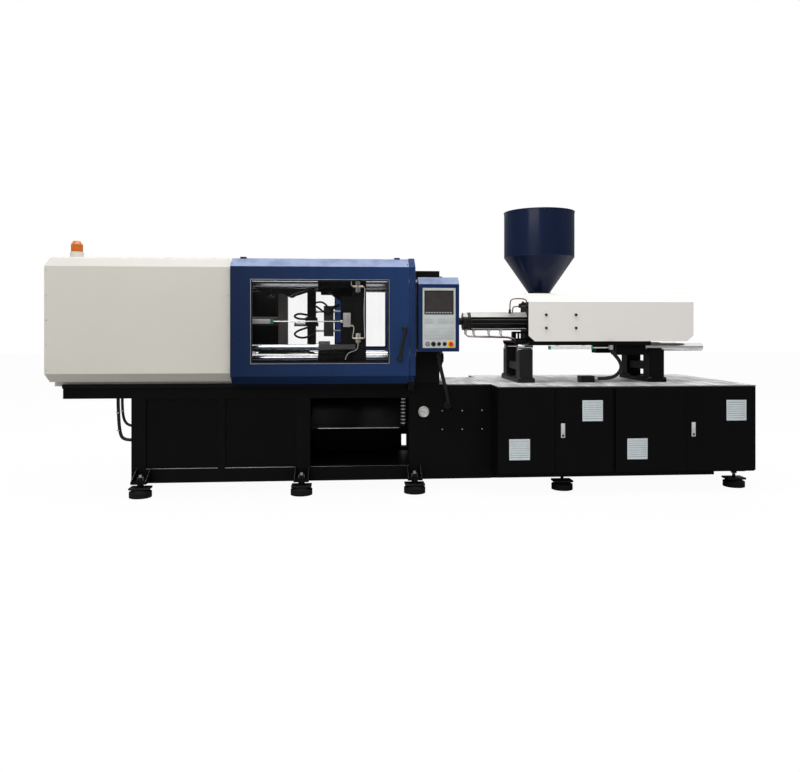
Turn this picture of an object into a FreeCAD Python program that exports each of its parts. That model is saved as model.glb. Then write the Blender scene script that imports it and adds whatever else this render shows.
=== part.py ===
"""Horizontal injection moulding machine of the 200 tonne class.

Lengths are millimetres. +X runs along the machine from the clamp end to the
injection end, -Y is the operator's side and +Z is up. The origin lies on the
floor, half way along the machine, on its centre plane.
"""
import FreeCAD
import Part
import Sketcher
import math
import os

# ---------------------------------------------------------------------------
# Driving sizes: name, value, note
# ---------------------------------------------------------------------------
SIZES = [
    ("axis_height", 1284, "clamp and injection axis above the floor"),
    ("sheet_steel", 4, "sheet of covers and gates"),
    ("mitre_flat", 0.293, "inner shift of a fold between a level and a sloping face, per sheet"),
    ("mitre_steep", 0.547, "inner shift of a fold between a sloping and an upright face, per sheet"),
    ("close_fit", 0.05, "radial clearance of a fixed shaft in its bore"),
    ("free_fit", 0.1, "radial clearance of a moving shaft in its bore"),
    ("seat_gap", 0.3, "gap under a sliding or turning face"),
    # clamp frame
    ("frame_left", -2051, "left end of the clamp frame"),
    ("frame_split", 640, "where the clamp frame meets the cabinet"),
    ("frame_half", 390, "half width of the clamp frame"),
    ("frame_bottom", 80, "underside of the clamp frame"),
    ("deck_level", 800, "top of both bases"),
    ("inner_half", 330, "half width of the spaces inside the frame"),
    ("void_left", -1990, "closed space under the toggle"),
    ("void_right", -905, "closed space under the toggle"),
    ("void_bottom", 140, "floor of the closed spaces"),
    ("void_top", 740, "roof of the closed space under the toggle"),
    ("panel_bottom", 189, "frame panels"),
    ("panel_top", 700, "frame panels"),
    ("panel_1_left", -1945, "first frame panel"),
    ("panel_1_right", -1420, "first frame panel"),
    ("panel_2_left", -1369, "second frame panel"),
    ("panel_2_right", -844, "second frame panel"),
    ("panel_outer", 378, "outer face of the frame panels"),
    ("panel_inner", 372, "inner face of the frame panels"),
    ("drop_left", -739, "product opening"),
    ("drop_right", 8, "product opening"),
    ("drop_bay_right", 68, "space behind the product opening"),
    ("drop_bottom", 185, "product opening"),
    ("drop_top", 703, "product opening"),
    ("throat_half", 270, "half width of the throat under the mould"),
    ("slot_left", 5, "slot in the rear wall"),
    ("slot_right", 49, "slot in the rear wall"),
    ("slot_bottom", 214, "slot in the rear wall"),
    ("slot_top", 318, "slot in the rear wall"),
    ("void_2_left", 183, "closed space under the fixed platen"),
    ("void_2_right", 580, "closed space under the fixed platen"),
    ("deck_left", 300, "left end of the deck plate"),
    ("deck_sheet", 8, "deck plate"),
    ("cantilever_left", -2540, "rails under the clamp covers"),
    ("cantilever_bottom", 708, "rails under the clamp covers"),
    ("cantilever_inner", 310, "rails under the clamp covers"),
    ("end_beam", 60, "beam across the end of these rails"),
    ("slideway_left", -1750, "slideways"),
    ("slideway_right", -100, "slideways"),
    ("slideway_inner", 290, "slideways"),
    ("slideway_outer", 350, "slideways"),
    ("slideway_height", 20, "slideways"),
    ("foot_1_x", -1961, "first pair of clamp feet"),
    ("foot_2_x", -797, "second pair of clamp feet"),
    ("foot_3_x", 43, "third pair of clamp feet"),
    ("foot_y", 475, "clamp feet from the centre plane"),
    ("bracket_half", 55, "foot bracket"),
    ("bracket_outer", 535, "foot bracket"),
    ("bracket_bottom", 100, "foot bracket"),
    ("bracket_plate", 20, "foot bracket"),
    ("rib_height", 70, "ribs of a foot bracket"),
    ("rib_sheet", 10, "ribs of a foot bracket"),
    ("stud_hole", 13, "hole for a levelling stud"),
    ("access_left", 250, "access plate"),
    ("access_right", 580, "access plate"),
    ("access_bottom", 445, "access plate"),
    ("access_top", 611, "access plate"),
    ("access_sheet", 4, "access plate"),
    ("gauge_x", 119, "pressure gauge"),
    ("gauge_z", 594, "pressure gauge"),
    ("gauge_radius", 42, "pressure gauge"),
    ("gauge_depth", 20, "pressure gauge"),
    # levelling feet
    ("pad_radius", 80, "levelling pad"),
    ("pad_height", 40, "levelling pad"),
    ("pad_cone", 54, "top radius of the pad's cone"),
    ("cone_height", 14, "pad's cone"),
    ("stud_radius", 12, "levelling stud"),
    ("stud_top", 160, "top of the studs on the clamp side"),
    ("nut_radius", 24, "levelling nut, over its corners"),
    ("nut_height", 22, "levelling nut"),
    ("foot_4_x", 1178, "first pair of cabinet feet"),
    ("foot_5_x", 2541, "second pair of cabinet feet"),
    ("cabinet_foot_y", 440, "cabinet feet from the centre plane"),
    ("foot_block", 60, "half width of the block over the last feet"),
    # cabinet
    ("cabinet_right", 2603, "right end of the cabinet"),
    ("cabinet_half", 640, "half width of the cabinet"),
    ("door_gap", 2, "gap between the cabinet body and its doors"),
    ("cabinet_bottom", 152, "underside of the cabinet"),
    ("plinth_bottom", 125, "underside of the plinth"),
    ("plinth_right", 2298, "right end of the plinth"),
    ("bay_bottom", 190, "floor of the cabinet bays"),
    ("bay_top", 740, "roof of the cabinet bays"),
    ("bay_1_left", 680, "switchgear bay"),
    ("bay_1_right", 1490, "switchgear bay"),
    ("bay_1_back", -100, "switchgear bay"),
    ("bay_2_left", 1540, "oil bay"),
    ("bay_2_right", 2560, "oil bay"),
    ("bay_2_back", 400, "oil bay"),
    ("bay_3_front", -60, "closed space behind the switchgear"),
    ("back_wall", 40, "rear wall of the cabinet, and the plinth's inset"),
    ("buffer_radius", 6, "rubber buffer behind a door"),
    ("buffer_inset", 30, "buffer from the door's free edge"),
    ("door_sheet", 3, "door skin"),
    ("door_depth", 20, "depth of a folded door"),
    ("door_bottom", 162, "doors"),
    ("door_top", 790, "doors"),
    ("door_rim", 18, "folded rim of a door"),
    ("door_round", 6, "rounded hinge edge of a door"),
    ("seam_1", 1069, "seam of the first pair of doors"),
    ("seam_2", 2062, "seam of the second pair of doors"),
    ("half_seam", 1.5, "half the gap between doors"),
    ("pair_1_right", 1504, "right end of the first pair of doors"),
    ("pair_2_left", 1525, "left end of the second pair of doors"),
    ("vent_half", 77, "half side of a ventilation grille"),
    ("vent_frame", 9, "grille frame"),
    ("vent_proud", 2.5, "grille frame in front of the door"),
    ("vent_slot", 7, "height of a grille slot"),
    ("vent_pitch", 16.5, "spacing of the grille slots"),
    ("vent_margin", 4, "grille slots from the inner edge of the frame"),
    ("vent_1_in", 160, "grille of door 1 from its hinge edge"),
    ("vent_1_z", 337, "grille of door 1"),
    ("vent_2_in", 156.5, "grille of door 2 from its hinge edge"),
    ("vent_2_z", 618, "grille of door 2"),
    ("vent_3_in", 162.5, "grille of door 3 from its hinge edge"),
    ("vent_3_z", 332.5, "grille of door 3"),
    ("vent_4_in", 153, "grille of door 4 from its hinge edge"),
    ("vent_4_z", 613, "grille of door 4"),
    ("latch_half", 18, "half width of a door latch"),
    ("latch_height", 114, "door latch"),
    ("latch_proud", 6, "door latch in front of the door"),
    ("latch_in", 54.5, "door latch from the seam"),
    ("latch_z", 417, "lower end of the latches"),
    # inside the cabinet
    ("gear_left", 720, "switchgear plate"),
    ("gear_right", 1450, "switchgear plate"),
    ("gear_bottom", 230, "switchgear plate"),
    ("gear_top", 700, "switchgear plate"),
    ("gear_sheet", 6, "switchgear plate"),
    ("drive_left", 760, "servo drive"),
    ("drive_width", 210, "servo drive"),
    ("drive_bottom", 270, "servo drive"),
    ("drive_height", 390, "servo drive"),
    ("drive_depth", 210, "servo drive"),
    ("supply_left", 1010, "power supply"),
    ("supply_width", 130, "power supply"),
    ("supply_depth", 130, "power supply"),
    ("contactor_left", 1175, "first contactor"),
    ("contactor_width", 48, "contactor"),
    ("contactor_pitch", 62, "contactors"),
    ("contactor_depth", 90, "contactor"),
    ("contactor_height", 90, "contactor"),
    ("contactor_low", 300, "lower row of contactors"),
    ("contactor_high", 540, "upper row of contactors"),
    ("tank_left", 1560, "oil tank"),
    ("tank_right", 2050, "oil tank"),
    ("tank_front", -500, "oil tank"),
    ("tank_back", 350, "oil tank"),
    ("tank_top", 560, "oil tank"),
    ("motor_x", 2300, "pump motor"),
    ("motor_z", 400, "pump motor"),
    ("motor_radius", 110, "pump motor"),
    ("motor_front", -420, "pump motor"),
    ("motor_length", 360, "pump motor"),
    ("pump_radius", 65, "pump"),
    ("pump_length", 150, "pump"),
    ("stand_half", 70, "half width of the motor's stand"),
    ("stand_inset", 40, "motor's stand from the ends of the motor"),
    ("manifold_left", 1376, "valve block on the deck"),
    ("manifold_right", 1484, "valve block on the deck"),
    ("manifold_front", -300, "valve block on the deck"),
    ("manifold_back", -200, "valve block on the deck"),
    ("manifold_height", 50, "valve block on the deck"),
    # platens and tie bars
    ("platen_half", 375, "half width of the platens"),
    ("platen_half_z", 380, "half height of the platens"),
    ("tie_offset", 285, "tie bars from the axis, both ways"),
    ("tie_radius", 37.5, "tie bar"),
    ("tie_left", -1700, "left end of the tie bars"),
    ("tie_right", 283, "right end of the tie bars"),
    ("nut_corner", 60, "tie bar nut, over its corners"),
    ("tie_nut", 32, "tie bar nut"),
    ("fixed_left", 63, "fixed platen"),
    ("fixed_right", 243, "fixed platen"),
    ("nozzle_hole", 45, "nozzle passage"),
    ("nozzle_pocket", 100, "pocket behind the nozzle passage"),
    ("pocket_left", 133, "pocket behind the nozzle passage"),
    ("locating_radius", 80, "locating bore for the mould"),
    ("locating_depth", 10, "locating bore for the mould"),
    ("bolt_radius", 8.75, "threaded mould holes"),
    ("bolt_depth", 40, "threaded mould holes"),
    ("bolt_wide", 210, "mould holes from the axis, wide way"),
    ("bolt_narrow", 105, "mould holes from the axis, narrow way"),
    ("foot_inner", 270, "feet of the fixed platen"),
    ("boss_left", 80, "boss that carries the control box"),
    ("boss_right", 190, "boss that carries the control box"),
    ("boss_bottom", 1120, "boss that carries the control box"),
    ("boss_top", 1320, "boss that carries the control box"),
    ("moving_left", -417, "face plate of the moving platen"),
    ("moving_right", -317, "face plate of the moving platen"),
    ("sleeve_radius", 62, "tie bar sleeves"),
    ("sleeve_left", -681, "tie bar sleeves"),
    ("centre_left", -510, "centre block of the moving platen"),
    ("centre_half", 200, "centre block of the moving platen"),
    ("web_inner", 355, "side webs of the moving platen"),
    ("web_bottom", 1100, "side webs of the moving platen"),
    ("web_top", 1470, "side webs of the moving platen"),
    ("shoe_inner", 295, "platen shoes"),
    ("shoe_outer", 345, "platen shoes"),
    ("ejector_hole", 20, "ejector passage"),
    ("tail_left", -1460, "tail platen"),
    ("tail_right", -1290, "tail platen"),
    ("tail_hole", 60, "rod passage of the tail platen"),
    ("adjust_nut", 60, "length of the mould height nuts"),
    # toggle
    ("link_length", 290, "rear and front links, pin to pin"),
    ("fold_angle", 18, "angle of the links to the axis as shown, degrees"),
    ("arm_angle", 25, "arm of the rear link above its centre line, degrees"),
    ("arm_length", 150, "arm and crosshead link, pin to pin"),
    ("front_pin_x", -640, "front pins, on the moving platen"),
    ("pin_rise", 325, "outer pins above and below the axis"),
    ("lug_radius", 50, "eyes of the platens' lugs"),
    ("lug_sink", 30, "lug webs below the top of the centre block"),
    ("lug_reach", 20, "lug webs behind the centre block"),
    ("lug_tail_x", 25, "lower corner of the lug webs behind the front pins"),
    ("lug_tail_z", 43, "lower corner of the lug webs below the front pins"),
    ("link_half", 36, "half height of a link's bar"),
    ("outer_eye", 47, "link eye at an outer pin"),
    ("knee_eye", 42, "link eye at the knee"),
    ("arm_eye", 30, "link eye at the arm"),
    ("outer_pin", 25, "outer pins"),
    ("knee_pin", 22, "knee pins"),
    ("arm_pin", 18, "crosshead pins"),
    ("arm_rim", 4, "bar of the crosshead links outside their pins"),
    ("layer_0", 58, "crosshead, outer face"),
    ("layer_1", 62, "crosshead links, inner face"),
    ("layer_2", 98, "crosshead links, outer face"),
    ("layer_3", 100, "rear links, inner face"),
    ("layer_4", 138, "rear links, outer face"),
    ("layer_5", 140, "front links, inner face"),
    ("layer_6", 178, "front links, outer face"),
    ("layer_7", 180, "outer lugs, inner face"),
    ("layer_8", 210, "outer lugs, outer face"),
    ("crosshead_half", 34, "half length of the crosshead"),
    ("crosshead_rise", 357, "half height of the crosshead"),
    ("rod_radius", 35, "clamp rod"),
    ("piston_radius", 84.9, "clamp piston"),
    ("piston_left", -1750, "clamp piston"),
    ("piston_length", 50, "clamp piston"),
    ("cylinder_radius", 100, "clamp cylinder"),
    ("cylinder_bore", 85, "clamp cylinder"),
    ("cylinder_left", -2150, "clamp cylinder"),
    ("cylinder_wall", 20, "end wall of the clamp cylinder"),
    ("gland_wall", 40, "gland wall of the clamp cylinder"),
    ("cylinder_flange", 135, "flange of the clamp cylinder"),
    # ejector, safety bar, lubrication
    ("post_left", -778, "ejector post"),
    ("post_right", -712, "ejector post"),
    ("post_half", 50, "ejector post and plate, half width"),
    ("yoke_low", 1050, "ejector post"),
    ("yoke_high", 1530, "ejector post"),
    ("ejector_cap", 16, "cap of the ejector cylinder"),
    ("cap_radius", 34, "cap of the ejector cylinder"),
    ("guide_radius", 8, "ejector guide rods"),
    ("guide_rise", 77, "ejector guide rods from the axis"),
    ("plate_left", -647, "ejector plate"),
    ("plate_right", -570, "ejector plate"),
    ("plate_half_z", 122, "ejector plate, half height"),
    ("ejector_rod", 12, "ejector rod"),
    ("ejector_ease", 2, "hole in the post around the ejector rod"),
    ("ejector_tip", -330, "tip of the ejector rod"),
    ("safety_y", -400, "safety bar"),
    ("safety_z", 1087, "safety bar"),
    ("safety_radius", 20, "safety bar"),
    ("safety_left", -1300, "safety bar"),
    ("collar_radius", 26, "collar of the safety bar"),
    ("collar_left", -694, "collar of the safety bar"),
    ("safety_nut", 43, "nut of the safety bar"),
    ("safety_nut_left", -674, "nut of the safety bar"),
    ("safety_nut_right", -589, "nut of the safety bar"),
    ("arm_right", -400, "bracket of the safety bar"),
    ("arm_half_z", 18, "bracket of the safety bar"),
    ("lube_depth", 20, "lubrication blocks"),
    ("lube_1_left", -490, "first lubrication block"),
    ("lube_1_right", -435, "first lubrication block"),
    ("lube_1_bottom", 1237, "first lubrication block"),
    ("lube_1_top", 1343, "first lubrication block"),
    ("lube_left", -396, "other lubrication blocks"),
    ("lube_right", -361, "other lubrication blocks"),
    ("lube_2_bottom", 1502, "upper lubrication block"),
    ("lube_2_top", 1585, "upper lubrication block"),
    ("lube_3_bottom", 1120, "lower lubrication block"),
    ("lube_3_top", 1188, "lower lubrication block"),
    # clamp covers, posts and rails
    ("cover_left", -2603, "clamp covers"),
    ("cover_right", -1304, "clamp covers"),
    ("leg_inset", 10, "lower leg of the covers inside the frame's face"),
    ("cover_fold", 838, "lower fold of the covers"),
    ("cover_edge", 465, "level parts of the covers"),
    ("cover_face", 565, "face of the covers"),
    ("cover_low", 902, "lower end of the face"),
    ("cover_high", 1670, "upper end of the face"),
    ("cover_top", 1735, "top of the covers"),
    ("cover_lip", 330, "inner edge of the top"),
    ("post_x", -5, "fixed posts beside the gates"),
    ("post_end", 38, "fixed posts beside the gates"),
    ("post_low", 760, "fixed posts"),
    ("post_step", 830, "fixed posts"),
    ("post_back", 430, "fixed posts"),
    ("post_chamfer", 450, "fixed posts"),
    ("post_top", 1746, "fixed posts"),
    ("rail_inner", 445, "top gate rails"),
    ("rail_outer", 455, "top gate rails"),
    ("rail_height", 10, "top gate rails"),
    ("rail_left", -2590, "top gate rails"),
    ("low_rail_width", 20, "bottom gate rails"),
    ("low_rail_bottom", 786, "bottom gate rails"),
    # gates
    ("gate_left", -1297, "gates"),
    ("gate_right", -9, "gates"),
    ("gate_lip", 10, "bottom lip of the gates from the frame's face"),
    ("gate_bottom", 816, "underside of the gates"),
    ("gate_edge", 500, "level parts of the gates"),
    ("gate_face", 600, "face of the gates"),
    ("gate_low", 880, "lower end of the face"),
    ("gate_high", 1674, "upper end of the face"),
    ("gate_top", 1739, "top edge of the gates"),
    ("gate_return", 24, "folded ends of the gates"),
    ("gate_hem", 1, "top edge of the gates beyond the sheet"),
    ("return_inset", 10, "folded ends from the ends of the face"),
    ("window_left", -1153, "front window"),
    ("window_right", -155, "windows"),
    ("window_bottom", 971, "front window"),
    ("window_top", 1580, "windows"),
    ("rear_left", -1090, "rear window"),
    ("rear_right", -110, "rear window"),
    ("rear_bottom", 1054, "rear window"),
    ("stile_left", -560, "stile between the rear panes"),
    ("stile_right", -497, "stile between the rear panes"),
    ("pane", 5, "window panes"),
    ("pane_margin", 20, "panes behind the gates"),
    ("hanger_1", -1240, "left hanger"),
    ("hanger_2", -110, "right hanger"),
    ("hanger_width", 40, "hangers"),
    ("hanger_sheet", 5, "hangers"),
    ("hanger_inner", 437, "inner end of the hangers"),
    ("hanger_hook", 6, "hook behind the rail"),
    ("handle_y", 658, "gate handles"),
    ("handle_x", -80, "lower end of a gate handle"),
    ("handle_z", 999, "lower end of a gate handle"),
    ("handle_length", 234, "gate handle"),
    ("handle_lean", 9.6, "lean of a gate handle, degrees"),
    ("handle_radius", 12, "gate handle"),
    ("stem_radius", 9, "stems of a gate handle"),
    ("stem_inset", 16, "stems from a handle's ends"),
    # beacon
    ("beacon_x", -2440, "beacon"),
    ("beacon_y", -390, "beacon"),
    ("beacon_radius", 46, "beacon base"),
    ("beacon_height", 48, "beacon base"),
    ("dome_radius", 40, "beacon dome"),
    ("dome_height", 60, "straight part of the beacon dome"),
    ("dome_inset", 14, "top of the dome's cap inside its drum"),
    ("dome_crown", 24, "dome's cap"),
    # control box
    ("box_left", 57, "control box"),
    ("box_right", 354, "control box"),
    ("box_front", -640, "control box"),
    ("box_back", -440, "control box"),
    ("box_bottom", 1057, "control box"),
    ("box_high", 1548, "upper end of the control box front"),
    ("box_slope", -585, "top edge of the control box"),
    ("box_top", 1601, "control box"),
    ("panel_left", 86, "operator panel"),
    ("panel_right", 326, "operator panel"),
    ("panel_low", 1084, "operator panel"),
    ("panel_high", 1520, "operator panel"),
    ("panel_depth", 5, "operator panel"),
    ("screen_left", 103, "screen"),
    ("screen_right", 307, "screen"),
    ("screen_low", 1332, "screen"),
    ("screen_high", 1497, "screen"),
    ("screen_pocket", 4, "pocket for the screen"),
    ("screen_depth", 3, "screen"),
    ("screen_gap", 0.5, "gap around the screen"),
    ("button_z", 1113, "button row"),
    ("key_x", 121, "key switch"),
    ("key_radius", 11, "key switch"),
    ("key_length", 8, "key switch"),
    ("key_blade", 14, "key"),
    ("key_half", 1.5, "half thickness of the key"),
    ("key_margin", 1, "key inside the barrel's edge"),
    ("knob_x", 164, "selector knob"),
    ("knob_radius", 13, "selector knob"),
    ("knob_length", 8, "selector knob"),
    ("knob_grip", 3.5, "half width of the knob's grip"),
    ("grip_length", 10, "the knob's grip"),
    ("grip_rise", 11, "half height of the knob's grip"),
    ("push_1_x", 205, "push button"),
    ("push_2_x", 246, "push button"),
    ("push_radius", 10, "push button"),
    ("push_length", 6, "push button"),
    ("stop_x", 291, "emergency stop"),
    ("stop_radius", 16, "emergency stop head"),
    ("stop_head", 13, "emergency stop head"),
    ("stop_gap", 6, "space under the emergency stop head"),
    ("stop_stem", 8, "emergency stop stem"),
    ("stem_depth", 3, "stem inside the panel"),
    ("well_depth", 7, "stem well in the box"),
    ("conduit_radius", 14, "conduit"),
    ("conduit_in", 155, "conduit from the left side of the control box"),
    ("line_drop", 80, "straight start of the hoses under the cantilever"),
    ("line_lean", 12, "lean of those hoses"),
    ("line_turn", 38, "rounding of their lower corner"),
    ("line_1_out", 103, "first hose from the frame's end"),
    ("line_1_y", -362, "first hose"),
    ("line_1_end", 398, "height where the first hose enters the frame"),
    ("line_1_radius", 12, "first hose"),
    ("line_2_out", 82, "second hose from the frame's end"),
    ("line_2_y", -332, "second hose"),
    ("line_2_end", 500, "height where the second hose enters the frame"),
    ("line_2_radius", 10, "second hose"),
    # stands
    ("rod_y", 230, "chrome guide rods"),
    ("rod_z", 1077, "chrome guide rods"),
    ("chrome_radius", 31, "chrome guide rods"),
    ("column_inner", 170, "columns of the stands"),
    ("column_outer", 290, "columns of the stands"),
    ("column_top", 1060, "columns of the stands"),
    ("stand_1_left", 884, "front stand"),
    ("stand_1_right", 990, "front stand"),
    ("stand_2_left", 1930, "rear stand"),
    ("stand_2_right", 2050, "rear stand"),
    ("stand_beam", 955, "top of the beam across a stand"),
    ("beam_height", 60, "beam across a stand"),
    ("beam_inset", 16, "beam inside the column's faces"),
    ("stand_toe", 14, "foot plate beyond the columns"),
    ("stand_foot", 30, "foot plate of a stand"),
    ("short_rod_right", 1000, "right end of the short rods"),
    ("rod_left", 1700, "carriage rods"),
    ("rod_right", 2386, "carriage rods"),
    # injection carriage
    ("web_x", 868, "foot of the barrel housing"),
    ("web_end", 1010, "foot of the barrel housing"),
    ("web_half", 24, "foot plate of the barrel housing"),
    ("web_left", 892, "foot plate of the barrel housing"),
    ("web_low", 1112, "foot of the barrel housing"),
    ("web_high", 1200, "foot of the barrel housing"),
    ("slot_x", 932, "first slot in that foot"),
    ("slot_pitch", 26.5, "slots in that foot"),
    ("slot_half", 10.5, "slots in that foot"),
    ("slot_low", 1144, "slots in that foot"),
    ("slot_high", 1184, "slots in that foot"),
    ("housing_left", 1000, "barrel housing"),
    ("housing_right", 1236, "barrel housing"),
    ("housing_half", 150, "barrel housing"),
    ("housing_low", 1125, "barrel housing"),
    ("housing_high", 1440, "barrel housing"),
    ("flange_left", 1196, "flange of the injection cylinders"),
    ("flange_half", 262, "flange of the injection cylinders"),
    ("flange_half_z", 66, "flange of the injection cylinders"),
    ("feed_radius", 40, "feed throat"),
    ("shoe_low", 1094, "carriage shoes"),
    ("shoe_near", 195, "carriage shoes"),
    ("shoe_far", 232, "carriage shoes"),
    ("shoe_end", 1250, "carriage shoes"),
    ("strip_inner", 300, "carriage side strips"),
    ("strip_left", 947, "carriage side strips"),
    ("strip_right", 1926, "carriage side strips"),
    ("tie_x", 1440, "cross tie of the carriage"),
    ("tie_end", 1480, "cross tie of the carriage"),
    ("block_left", 1662, "rear blocks of the carriage"),
    ("block_right", 1900, "rear blocks of the carriage"),
    ("block_low", 1016, "rear blocks of the carriage"),
    ("block_high", 1118, "rear blocks of the carriage"),
    ("inject_y", 200, "injection cylinders"),
    ("inject_radius", 55, "injection cylinders"),
    ("inject_right", 1480, "injection cylinders"),
    ("inject_bore_left", 1260, "injection cylinders"),
    ("inject_rod", 22, "injection rods"),
    ("inject_rod_left", 1420, "injection rods"),
    ("fitting_left", 1584, "hose fitting"),
    ("fitting_right", 1612, "hose fitting"),
    ("fitting_outer", 360, "hose fitting"),
    ("fitting_low", 1095, "hose fitting"),
    ("fitting_high", 1123, "hose fitting"),
    ("barrel_radius", 62, "barrel"),
    ("barrel_left", 480, "barrel"),
    ("screw_bore", 25.1, "barrel bore"),
    ("bore_left", 500, "barrel bore"),
    ("head_radius", 72, "barrel head"),
    ("head_right", 530, "barrel head"),
    ("nozzle_radius", 30, "nozzle"),
    ("nozzle_left", 370, "nozzle"),
    ("nozzle_tip", 310, "nozzle tip"),
    ("tip_radius", 12, "nozzle tip"),
    ("orifice", 4, "nozzle orifice"),
    ("guard_left", 540, "barrel guard"),
    ("guard_half", 74, "barrel guard"),
    ("guard_sheet", 3, "barrel guard"),
    ("hood_right", 2272, "injection cover"),
    ("hood_half", 330, "injection cover"),
    ("hood_low", 1125, "injection cover"),
    ("hood_high", 1434, "upper end of the cover's face"),
    ("hood_top_half", 230, "injection cover"),
    ("hood_top", 1503, "injection cover"),
    ("hood_sheet", 3, "injection cover"),
    ("hood_cut_x", 52, "cut corners of the cover"),
    ("hood_cut_z", 46, "cut corners of the cover"),
    ("hood_hole", 95, "hole for the hopper's neck"),
    ("hood_back_left", 1125, "left end of the cover's rear side"),
    ("hood_lip", 200, "rear edge of the cover's front side"),
    ("thrust_left", 1700, "thrust plate"),
    ("thrust_right", 1760, "thrust plate"),
    ("thrust_half", 258, "thrust plate"),
    ("thrust_low", 1135, "thrust plate"),
    ("thrust_high", 1430, "thrust plate"),
    ("drive_radius", 120, "screw motor"),
    ("drive_right", 2000, "screw motor"),
    ("screw_radius", 25, "screw"),
    ("screw_left", 655, "screw"),
    ("screw_tip", 40, "pointed tip of the screw"),
    ("screw_point", 4, "radius at the end of the pointed tip"),
    ("shank_left", 1236, "screw shank"),
    ("shank_radius", 22, "screw shank"),
    ("sensor_left", 1124, "position transducer"),
    ("sensor_right", 1445, "position transducer"),
    ("sensor_inner", 304, "position transducer"),
    ("sensor_low", 1062, "position transducer"),
    ("sensor_high", 1088, "position transducer"),
    ("clip_1", 1170, "first clip of the transducer"),
    ("clip_2", 1380, "second clip of the transducer"),
    ("clip_width", 20, "clips of the transducer"),
    ("sensor_rod", 5, "transducer rod"),
    ("anchor_left", 1600, "anchor of the transducer rod"),
    # hopper
    ("hopper_x", 1118, "hopper"),
    ("hopper_radius", 285, "hopper drum"),
    ("hopper_sheet", 3, "hopper sheet"),
    ("neck_radius", 70, "hopper neck"),
    ("neck_top", 1512, "hopper neck"),
    ("cone_radius", 83, "lower end of the hopper's cone"),
    ("cone_draw", 2, "inner cone of the hopper, drawn in at its lower end"),
    ("cone_top", 1808, "hopper cone"),
    ("hopper_rim", 2172, "hopper rim"),
    ("lid_radius", 288, "hopper lid"),
    ("lid_edge", 6, "edge of the lid"),
    ("lid_crown", 150, "crown of the lid"),
    ("lid_rise", 24, "rise of the lid"),
    ("knob_top", 14, "lid knob"),
    ("lid_knob", 17, "lid knob"),
    ("lid_hinge_half", 40, "lid hinge"),
    ("lid_hinge_reach", 10, "lid hinge"),
    ("lid_leaf", 15, "lid hinge inside the drum"),
    # chute
    ("chute_back", 650, "chute at the rear"),
    ("chute_front", 470, "chute at the front"),
    ("chute_sheet", 4, "chute"),
]


class Dim:
    """A size with its value and the sheet expression that yields it."""

    def __init__(self, value, text):
        self.value = float(value)
        self.text = text

    def __add__(self, other):
        other = dim(other)
        return Dim(self.value + other.value, "(%s + %s)" % (self.text, other.text))

    def __radd__(self, other):
        return dim(other) + self

    def __sub__(self, other):
        other = dim(other)
        return Dim(self.value - other.value, "(%s - %s)" % (self.text, other.text))

    def __rsub__(self, other):
        return dim(other) - self

    def __mul__(self, other):
        other = dim(other)
        return Dim(self.value * other.value, "(%s * %s)" % (self.text, other.text))

    def __rmul__(self, other):
        return dim(other) * self

    def __truediv__(self, other):
        other = dim(other)
        return Dim(self.value / other.value, "(%s / %s)" % (self.text, other.text))

    def __neg__(self):
        return Dim(-self.value, "(0 - %s)" % self.text)


def dim(value):
    """Return a Dim for a Dim or a plain number."""
    if isinstance(value, Dim):
        return value
    return Dim(value, "(0 - %g)" % -value if value < 0 else "%g" % value)


def cosd(angle):
    """Cosine of a Dim in degrees."""
    return Dim(math.cos(math.radians(angle.value)), "cos(%s)" % angle.text)


def sind(angle):
    """Sine of a Dim in degrees."""
    return Dim(math.sin(math.radians(angle.value)), "sin(%s)" % angle.text)


class Sizes:
    """The driving sizes as attributes."""


doc = FreeCAD.newDocument("InjectionMouldingMachine")
sheet = doc.addObject("Spreadsheet::Sheet", "dims")
D = Sizes()
for row, (alias, value, note) in enumerate(SIZES, start=1):
    sheet.set("A%d" % row, note)
    sheet.set("B%d" % row, str(value))
    sheet.setAlias("B%d" % row, alias)
    setattr(D, alias, Dim(value, "dims." + alias))
doc.recompute()

NODES = []
TURNS = {
    "x": FreeCAD.Rotation(FreeCAD.Vector(0, 1, 0), 90),
    "y": FreeCAD.Rotation(FreeCAD.Vector(1, 0, 0), -90),
    "z": FreeCAD.Rotation(),
}
PLANES = {"x": "YZ_Plane", "y": "XZ_Plane", "z": "XY_Plane"}


def bind(obj, **sizes):
    """Bind properties of an object to expressions of the sheet."""
    for name, value in sizes.items():
        obj.setExpression(name, dim(value).text)


def place(obj, x, y, z):
    """Bind the position of an object."""
    for key, value in (("x", x), ("y", y), ("z", z)):
        obj.setExpression("Placement.Base." + key, dim(value).text)


def box(name, x0, x1, y0, y1, z0, z1):
    """A box between two values on each axis."""
    obj = doc.addObject("Part::Box", name)
    bind(obj, Length=dim(x1) - x0, Width=dim(y1) - y0, Height=dim(z1) - z0)
    place(obj, x0, y0, z0)
    return obj


def cylinder(name, axis, x, y, z, radius, length):
    """A cylinder that starts at a point and runs along +axis."""
    obj = doc.addObject("Part::Cylinder", name)
    obj.Placement = FreeCAD.Placement(FreeCAD.Vector(), TURNS[axis])
    bind(obj, Radius=radius, Height=length)
    place(obj, x, y, z)
    return obj


def cone(name, axis, x, y, z, radius, end_radius, length):
    """A cone that starts at a point and runs along +axis."""
    obj = doc.addObject("Part::Cone", name)
    obj.Placement = FreeCAD.Placement(FreeCAD.Vector(), TURNS[axis])
    bind(obj, Radius1=radius, Radius2=end_radius, Height=length)
    place(obj, x, y, z)
    return obj


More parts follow.
